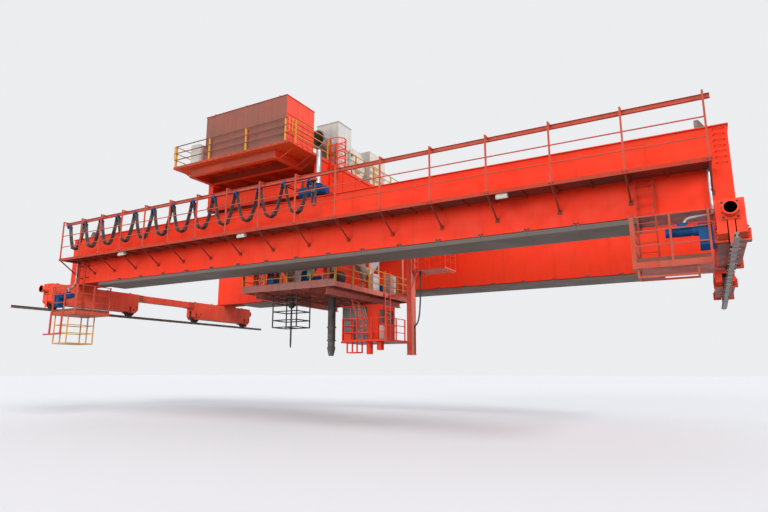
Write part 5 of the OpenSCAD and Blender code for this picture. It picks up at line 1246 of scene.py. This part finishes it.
def makeGasBottles(g):
    bm = bmesh.new()
    for x, y in g["places"]:
        lathe(bm, g["bottle"], (x, y, g["floor"]), "Z", 28)
    makePiece("gasBottles", "trolley", "pipeGrey", bm)
    bm = bmesh.new()
    (x0, x1), (y0, y1), (f0, f1) = g["barX"], g["barY"], g["forkY"]
    for z in g["barZ"]:
        slab(bm, (x0, y0, z), (x1, y1, z + g["barHigh"]), 0.004)
        for x in g["forkX"]:
            slab(bm, (x - 0.015, f0, z), (x + 0.015, f1, z + g["barHigh"]), 0.004)
    for x in g["legX"]:
        slab(bm, (x - 0.02, g["legY"], g["floor"]), (x + 0.02, y1, g["legTop"]), 0.004)
    makePiece("bottleRack", "trolley", "postRed", bm)


makeGasBottles(gas)

# Small boxes, each with a lid on its front and two feet
deckBoxes = {
    "boxes": [((15.86, -4.86, 1.22), (16.18, -4.66, 1.62), "housingGrey"),
              ((13.40, -4.84, 0.95), (13.76, -4.60, 1.30), "motorBlue"),
              ((16.62, 0.62, 0.95), (16.98, 0.94, 1.38), "motorBlue"),
              ((17.28, -1.72, 1.62), (17.44, -1.46, 1.94), "fanCream")],
    "lidIn": 0.03, "lidY": (0.010, 0.004), "footWide": 0.02, "footY": (0.02, 0.05), "footZ": (0.14, 0.01),
}


def makeDeckBoxes(d):
    for k, (low, high, mat) in enumerate(d["boxes"], 1):
        bm = bmesh.new()
        (x0, y, z0), (x1, _, z1), rim = low, high, d["lidIn"]
        slab(bm, low, high, 0.012)
        slab(bm, (x0 + rim, y - d["lidY"][0], z0 + rim), (x1 - rim, y + d["lidY"][1], z1 - rim), 0.004)
        for x in (x1 - d["footWide"], x0):
            slab(bm, (x, y + d["footY"][0], z0 - d["footZ"][0]),
                 (x + d["footWide"], y + d["footY"][1], z0 + d["footZ"][1]))
        makePiece("deckBox%d" % k, "trolley", mat, bm)


makeDeckBoxes(deckBoxes)

# Pipes, and a hand valve with two flanges on each thick one
deckPipes = {
    "lines": [
        (0.045, [(14.45, -3.0, 1.83), (14.45, -3.0, 2.42), (14.70, -2.6, 2.42), (14.70, -1.215, 2.42)]),
        (0.045, [(13.05, -2.3, 3.43), (13.05, -2.3, 3.78), (13.25, -3.0, 3.78), (13.25, -3.95, 3.78),
                 (13.25, -3.95, 0.82)]),
        (0.055, [(16.05, 0.5, 3.87), (16.05, 0.5, 4.22), (16.05, -0.6, 4.22), (16.05, -2.75, 4.22),
                 (16.05, -2.75, 1.68)]),
        (0.024, [(12.43, -4.35, 0.82), (12.43, -4.35, 3.05), (12.43, -3.1, 3.05), (12.43, 2.2, 3.05),
                 (12.43, 2.2, 0.82)]),
        (0.024, [(12.55, -4.35, 0.82), (12.55, -4.35, 2.90), (12.55, -3.1, 2.90), (12.55, 2.1, 2.90),
                 (12.55, 2.1, 0.82)]),
        (0.030, [(16.60, -4.35, 0.82), (16.60, -4.35, 3.10), (16.60, -4.35, 5.04)]),
        (0.030, [(15.0, -4.30, 0.84), (15.6, -4.30, 0.84), (16.3, -4.30, 0.84), (16.48, -4.34, 1.4),
                 (16.48, -4.34, 5.04)]),
    ],
    "thick": 0.04, "bend": 3.2, "longRun": 0.3, "flangeOff": 0.11, "flangeThick": 0.024, "flange": 2.1,
    "stem": (0.20, 0.016), "wheel": (0.11, 0.011), "spokes": 3, "spoke": 0.007,
}


def makeValve(name, p, radius, middle, axis):
    bm = bmesh.new()
    letter = "XYZ"[max(range(3), key=lambda i: abs(axis[i]))]
    for off in (-p["flangeOff"], p["flangeOff"]):
        disc(bm, middle + axis * (off - p["flangeThick"] / 2), letter, radius * p["flange"], p["flangeThick"])
    # the stem stands up from a level pipe and points to the front from an upright one
    stem, stemRadius = p["stem"]
    hub = middle + Vector((0, -stem, 0) if letter == "Z" else (0, 0, stem))
    rod(bm, middle, hub, stemRadius)
    radius, wire = p["wheel"]
    rim = [hub + Vector((a, 0, b) if letter == "Z" else (a, b, 0)) for a, b in circle(radius, 24)]
    sweep(bm, rim, circle(wire, 8), closed=True)
    for point in rim[::24 // p["spokes"]]:
        rod(bm, hub, point, p["spoke"], 6)
    makePiece(name, "trolley", "craneRed", bm)


def makeDeckPipes(p):
    for k, (radius, line) in enumerate(p["lines"], 1):
        thick = radius > p["thick"]
        tubes("deckPipe%d" % k, "trolley", [line], radius, "pipeGrey" if thick else "galvanised",
              p["bend"] * radius, 16)
        if thick:
            a, b = Vector(line[1]), Vector(line[2])
            middle = (a + b) / 2 if (b - a).length > p["longRun"] else a
            makeValve("handValve%d" % k, p, radius, middle, (b - a).normalized())


makeDeckPipes(deckPipes)

# Bolts round the rims of the two hoppers
hopperRims = {"rims": ((13.05, -2.3, 3.276), (15.95, 0.5, 3.726)), "radius": 0.822, "bolts": 24,
              "bolt": (0.030, 0.022)}


def makeHopperRims(h):
    places = [((x + a, y + b, z), (0, 0, 1)) for x, y, z in h["rims"]
              for a, b in circle(h["radius"], h["bolts"])]
    bolts("hopperRimBolts", "trolley", places, "darkSteel", *h["bolt"])


makeHopperRims(hopperRims)

# Toe boards along the lower deck's edges, with the bolts that hold them
toeBoards = {"x": (11.80, 17.60), "y": (-5.0, 2.9), "z": 0.80, "thick": 0.010, "high": 0.11, "inset": 0.02,
             "frontBolts": 16, "frontIn": 0.25, "sideBolts": 20, "sideIn": 0.3, "boltDown": 0.11,
             "bolt": (0.036, 0.018)}


def makeToeBoards(t):
    bm = bmesh.new()
    (x0, x1), (y0, y1), z, thick, inset = t["x"], t["y"], t["z"], t["thick"], t["inset"]
    for side in (y0, y1 - thick):
        slab(bm, (x0 + inset, side, z), (x1 - inset, side + thick, z + t["high"]))
    slab(bm, (x0, y0 + inset, z), (x0 + thick, y1 - inset, z + t["high"]))
    makePiece("deckToeBoards", "trolley", "lowDeckRed", bm)
    places = [((x, y0, z - t["boltDown"]), (0, -1, 0))
              for x in rows(x0 + t["frontIn"], x1 - t["frontIn"], t["frontBolts"])]
    places += [((x1, y, z - t["boltDown"]), (1, 0, 0))
               for y in rows(y0 + t["sideIn"], y1 - t["sideIn"], t["sideBolts"])]
    bolts("deckEdgeBolts", "trolley", places, "lowDeckRed", *t["bolt"])


makeToeBoards(toeBoards)
print("lower deck fitted out")

# Cab front: window frames, sill and door leaf with its handle
cab = {
    "faceX": 17.60, "y": (-1.0, 0.9), "panes": ((-0.77, -0.23), (0.05, 0.70)), "paneZ": (-0.85, -0.15),
    "rim": 0.028, "out": 0.022, "sillZ": (-0.99, -0.93), "sillOut": 0.030,
    "leafY": (-0.88, -0.12), "leafZ": (-1.72, -0.91), "leafX": (0.004, 0.026),
    "handleOut": 0.055, "handleIn": 0.10, "handleZ": (0.34, 0.56), "screw": (0.012, 0.006),
}


def makeCabFront(c):
    bm, x, rim, (z0, z1) = bmesh.new(), c["faceX"], c["rim"], c["paneZ"]
    for y0, y1 in c["panes"]:
        for low, high in (((y0 - rim, z0 - rim), (y1 + rim, z0)), ((y0 - rim, z1), (y1 + rim, z1 + rim)),
                          ((y0 - rim, z0), (y0, z1)), ((y1, z0), (y1 + rim, z1))):
            slab(bm, (x, *low), (x + c["out"], *high), 0.003)
    slab(bm, (x, c["y"][0] + 0.02, c["sillZ"][0]), (x + c["sillOut"], c["y"][1] - 0.02, c["sillZ"][1]), 0.006)
    makePiece("cabWindowFrames", "trolley", "craneRed", bm)
    bm = bmesh.new()
    (y0, y1), (low, high) = c["leafY"], c["leafZ"]
    slab(bm, (x + c["leafX"][0], y0 + 0.03, low + 0.03), (x + c["leafX"][1], y1 - 0.03, high - 0.03), 0.008)
    grip, out, (h0, h1) = y1 - c["handleIn"], x + c["handleOut"], c["handleZ"]
    rod(bm, (out, grip, low + h0), (out, grip, low + h1), 0.010)
    for z in (low + h0 + 0.01, low + h1 - 0.01):
        rod(bm, (x + 0.02, grip, z), (out, grip, z), 0.008)
    makePiece("cabDoorLeaf", "trolley", "doorCream", bm)


makeCabFront(cab)

# Inside the cab: a desk, and a seat with arm rests and a lever on each
cabInside = {
    "desk": [((15.62, -0.62, -1.74), (15.92, 0.46, -1.02), 0.02),
             ((15.56, -0.66, -1.02), (15.98, 0.50, -0.96), 0.01)],
    "seat": [((16.38, -0.36, -1.36), (16.88, 0.14, -1.24), 0.04),
             ((16.84, -0.34, -1.26), (16.94, 0.12, -0.62), 0.035)],
    "foot": [(0, 0), (0.20, 0), (0.20, 0.03), (0.04, 0.06), (0.04, 0.36), (0, 0.36)],
    "footPlace": (16.63, -0.11, -1.74), "armY": (-0.42, 0.20), "armX": (16.40, 16.82), "armZ": (-1.12, -1.04),
    "lever": ((16.46, -1.05), (16.44, -0.86)), "leverRadius": 0.012,
}


def makeCabInside(c):
    bm = bmesh.new()
    for low, high, bevel in c["desk"]:
        slab(bm, low, high, bevel)
    makePiece("cabDesk", "trolley", "housingGrey", bm)
    bm = bmesh.new()
    for low, high, bevel in c["seat"]:
        slab(bm, low, high, bevel)
    lathe(bm, c["foot"], c["footPlace"], "Z", 24)
    for y in c["armY"]:
        slab(bm, (c["armX"][0], y - 0.05, c["armZ"][0]), (c["armX"][1], y + 0.05, c["armZ"][1]), 0.02)
        (x0, z0), (x1, z1) = c["lever"]
        rod(bm, (x0, y, z0), (x1, y, z1), c["leverRadius"])
    makePiece("cabSeat", "trolley", "cableBlack", bm)


makeCabInside(cabInside)


# Screws in the window frames
def makeCabScrews(c):
    half = c["rim"] / 2
    places = [((c["faceX"] + c["out"], y, z), (1, 0, 0)) for y0, y1 in c["panes"]
              for y in rows(y0 - half, y1 + half, 5) for z in (c["paneZ"][0] - half, c["paneZ"][1] + half)]
    bolts("cabScrews", "trolley", places, "galvanised", *c["screw"])


makeCabScrews(cab)

# Mast and suction guide: straps across the mast's faces, edge strips and flange bolts
mastTrim = {
    "x": (18.81, 19.09), "y": (0.0, 0.5), "z": (-2.53, 5.35), "straps": 9, "strapIn": 0.35, "strapHalf": 0.05,
    "strapOut": 0.012, "strapBoltY": (0.08, 0.42), "stripHalf": 0.012, "stripOut": 0.016,
    "guide": (14.70, -1.00), "flanges": (-1.05, 0.80, 3.34), "flangeUp": 0.06, "boltCircle": 0.262,
    "bolts": 12, "bolt": (0.030, 0.018),
}


def makeMastTrim(m):
    gx, gy = m["guide"]
    places = [((gx + a, gy + b, z + m["flangeUp"]), (0, 0, 1)) for z in m["flanges"]
              for a, b in circle(m["boltCircle"], m["bolts"])]
    bm = bmesh.new()
    (x0, x1), (y0, y1), (z0, z1), half, out = m["x"], m["y"], m["z"], m["strapHalf"], m["strapOut"]
    for z in rows(z0 + m["strapIn"], z1 - m["strapIn"], m["straps"]):
        slab(bm, (x0 - out, y0 + 0.02, z - half), (x0, y1 - 0.02, z + half), 0.004)
        slab(bm, (x0 + 0.03, y0 - out, z - half), (x1 - 0.03, y0, z + half), 0.004)
        places += [((x0 - out, y, z), (-1, 0, 0)) for y in m["strapBoltY"]]
    half = m["stripHalf"]
    for x in (x0 + half, x1 - half):
        slab(bm, (x - half, y0 - m["stripOut"], z0 + 0.02), (x + half, y0, z1 - 0.02), 0.003)
    makePiece("mastStrips", "trolley", "bleachedRed", bm)
    bolts("mastBolts", "trolley", places, "darkSteel", *m["bolt"])


makeMastTrim(mastTrim)
print("cab and mast fitted out")

# A pale floor far below the crane, soft key from the right, fill from the world
studio = {
    "floorZ": -6.0, "floorHalf": 400.0, "floorSeen": (0.90, 0.90, 0.90), "floorBounce": (0.44, 0.40, 0.38),
    "floorRough": 0.9, "sky": (0.90, 0.93, 1.0), "skySeen": (0.84, 0.85, 0.87), "fill": 0.66,
    "lamps": {
        "keyLamp": {"strength": 2.1, "spread": 25, "toward": (-0.80, 0.42, -0.45)},
        "frontLamp": {"strength": 3.5, "spread": 50, "toward": (0.25, 0.95, 0.05)},
    },
}


def makeFloor(s):
    mesh = bpy.data.meshes.new("floor")
    h, z = s["floorHalf"], s["floorZ"]
    mesh.from_pydata([(-h, -h, z), (h, -h, z), (h, h, z), (-h, h, z)], [], [(0, 1, 2, 3)])
    floor = bpy.data.objects.new("floor", mesh)
    bpy.context.scene.collection.objects.link(floor)
    kit = FinishKit("studioFloor")
    rays = kit.add("LightPath").outputs
    seen = kit.sums("MAXIMUM", rays["Is Camera Ray"], rays["Is Glossy Ray"])
    seen = kit.sums("MAXIMUM", seen, rays["Is Transmission Ray"])
    kit.give({"Base Color": kit.blend(seen, s["floorBounce"], s["floorSeen"]), "Roughness": s["floorRough"]})
    mesh.materials.append(kit.mat)


def makeSky(s):
    world = bpy.data.worlds.new("studioWorld")
    bpy.context.scene.world = world
    world.use_nodes = True
    kit = ShaderKit(world.node_tree)
    lit, shown, mixed = kit.tree.nodes["Background"], kit.add("Background"), kit.add("MixShader")
    for node, colour, strength in ((lit, s["sky"], s["fill"]), (shown, s["skySeen"], 1.0)):
        kit.plug(node.inputs["Color"], colour)
        kit.plug(node.inputs["Strength"], strength)
    rays = kit.add("LightPath").outputs
    seen = kit.sums("MAXIMUM", rays["Is Camera Ray"], rays["Is Transmission Ray"])
    for socket, value in zip(mixed.inputs, (seen, lit.outputs[0], shown.outputs[0])):
        kit.plug(socket, value)
    kit.plug(kit.tree.nodes["World Output"].inputs["Surface"], mixed.outputs[0])


def makeLamps(s):
    for name, lamp in s["lamps"].items():
        data = bpy.data.lights.new(name, "SUN")
        data.energy = lamp["strength"]
        data.angle = math.radians(lamp["spread"])
        obj = bpy.data.objects.new(name, data)
        obj.rotation_euler = Vector(lamp["toward"]).to_track_quat("-Z", "Y").to_euler()
        bpy.context.scene.collection.objects.link(obj)


makeFloor(studio)
makeSky(studio)
makeLamps(studio)
bpy.context.scene.view_settings.view_transform = "Standard"
print("studio made")
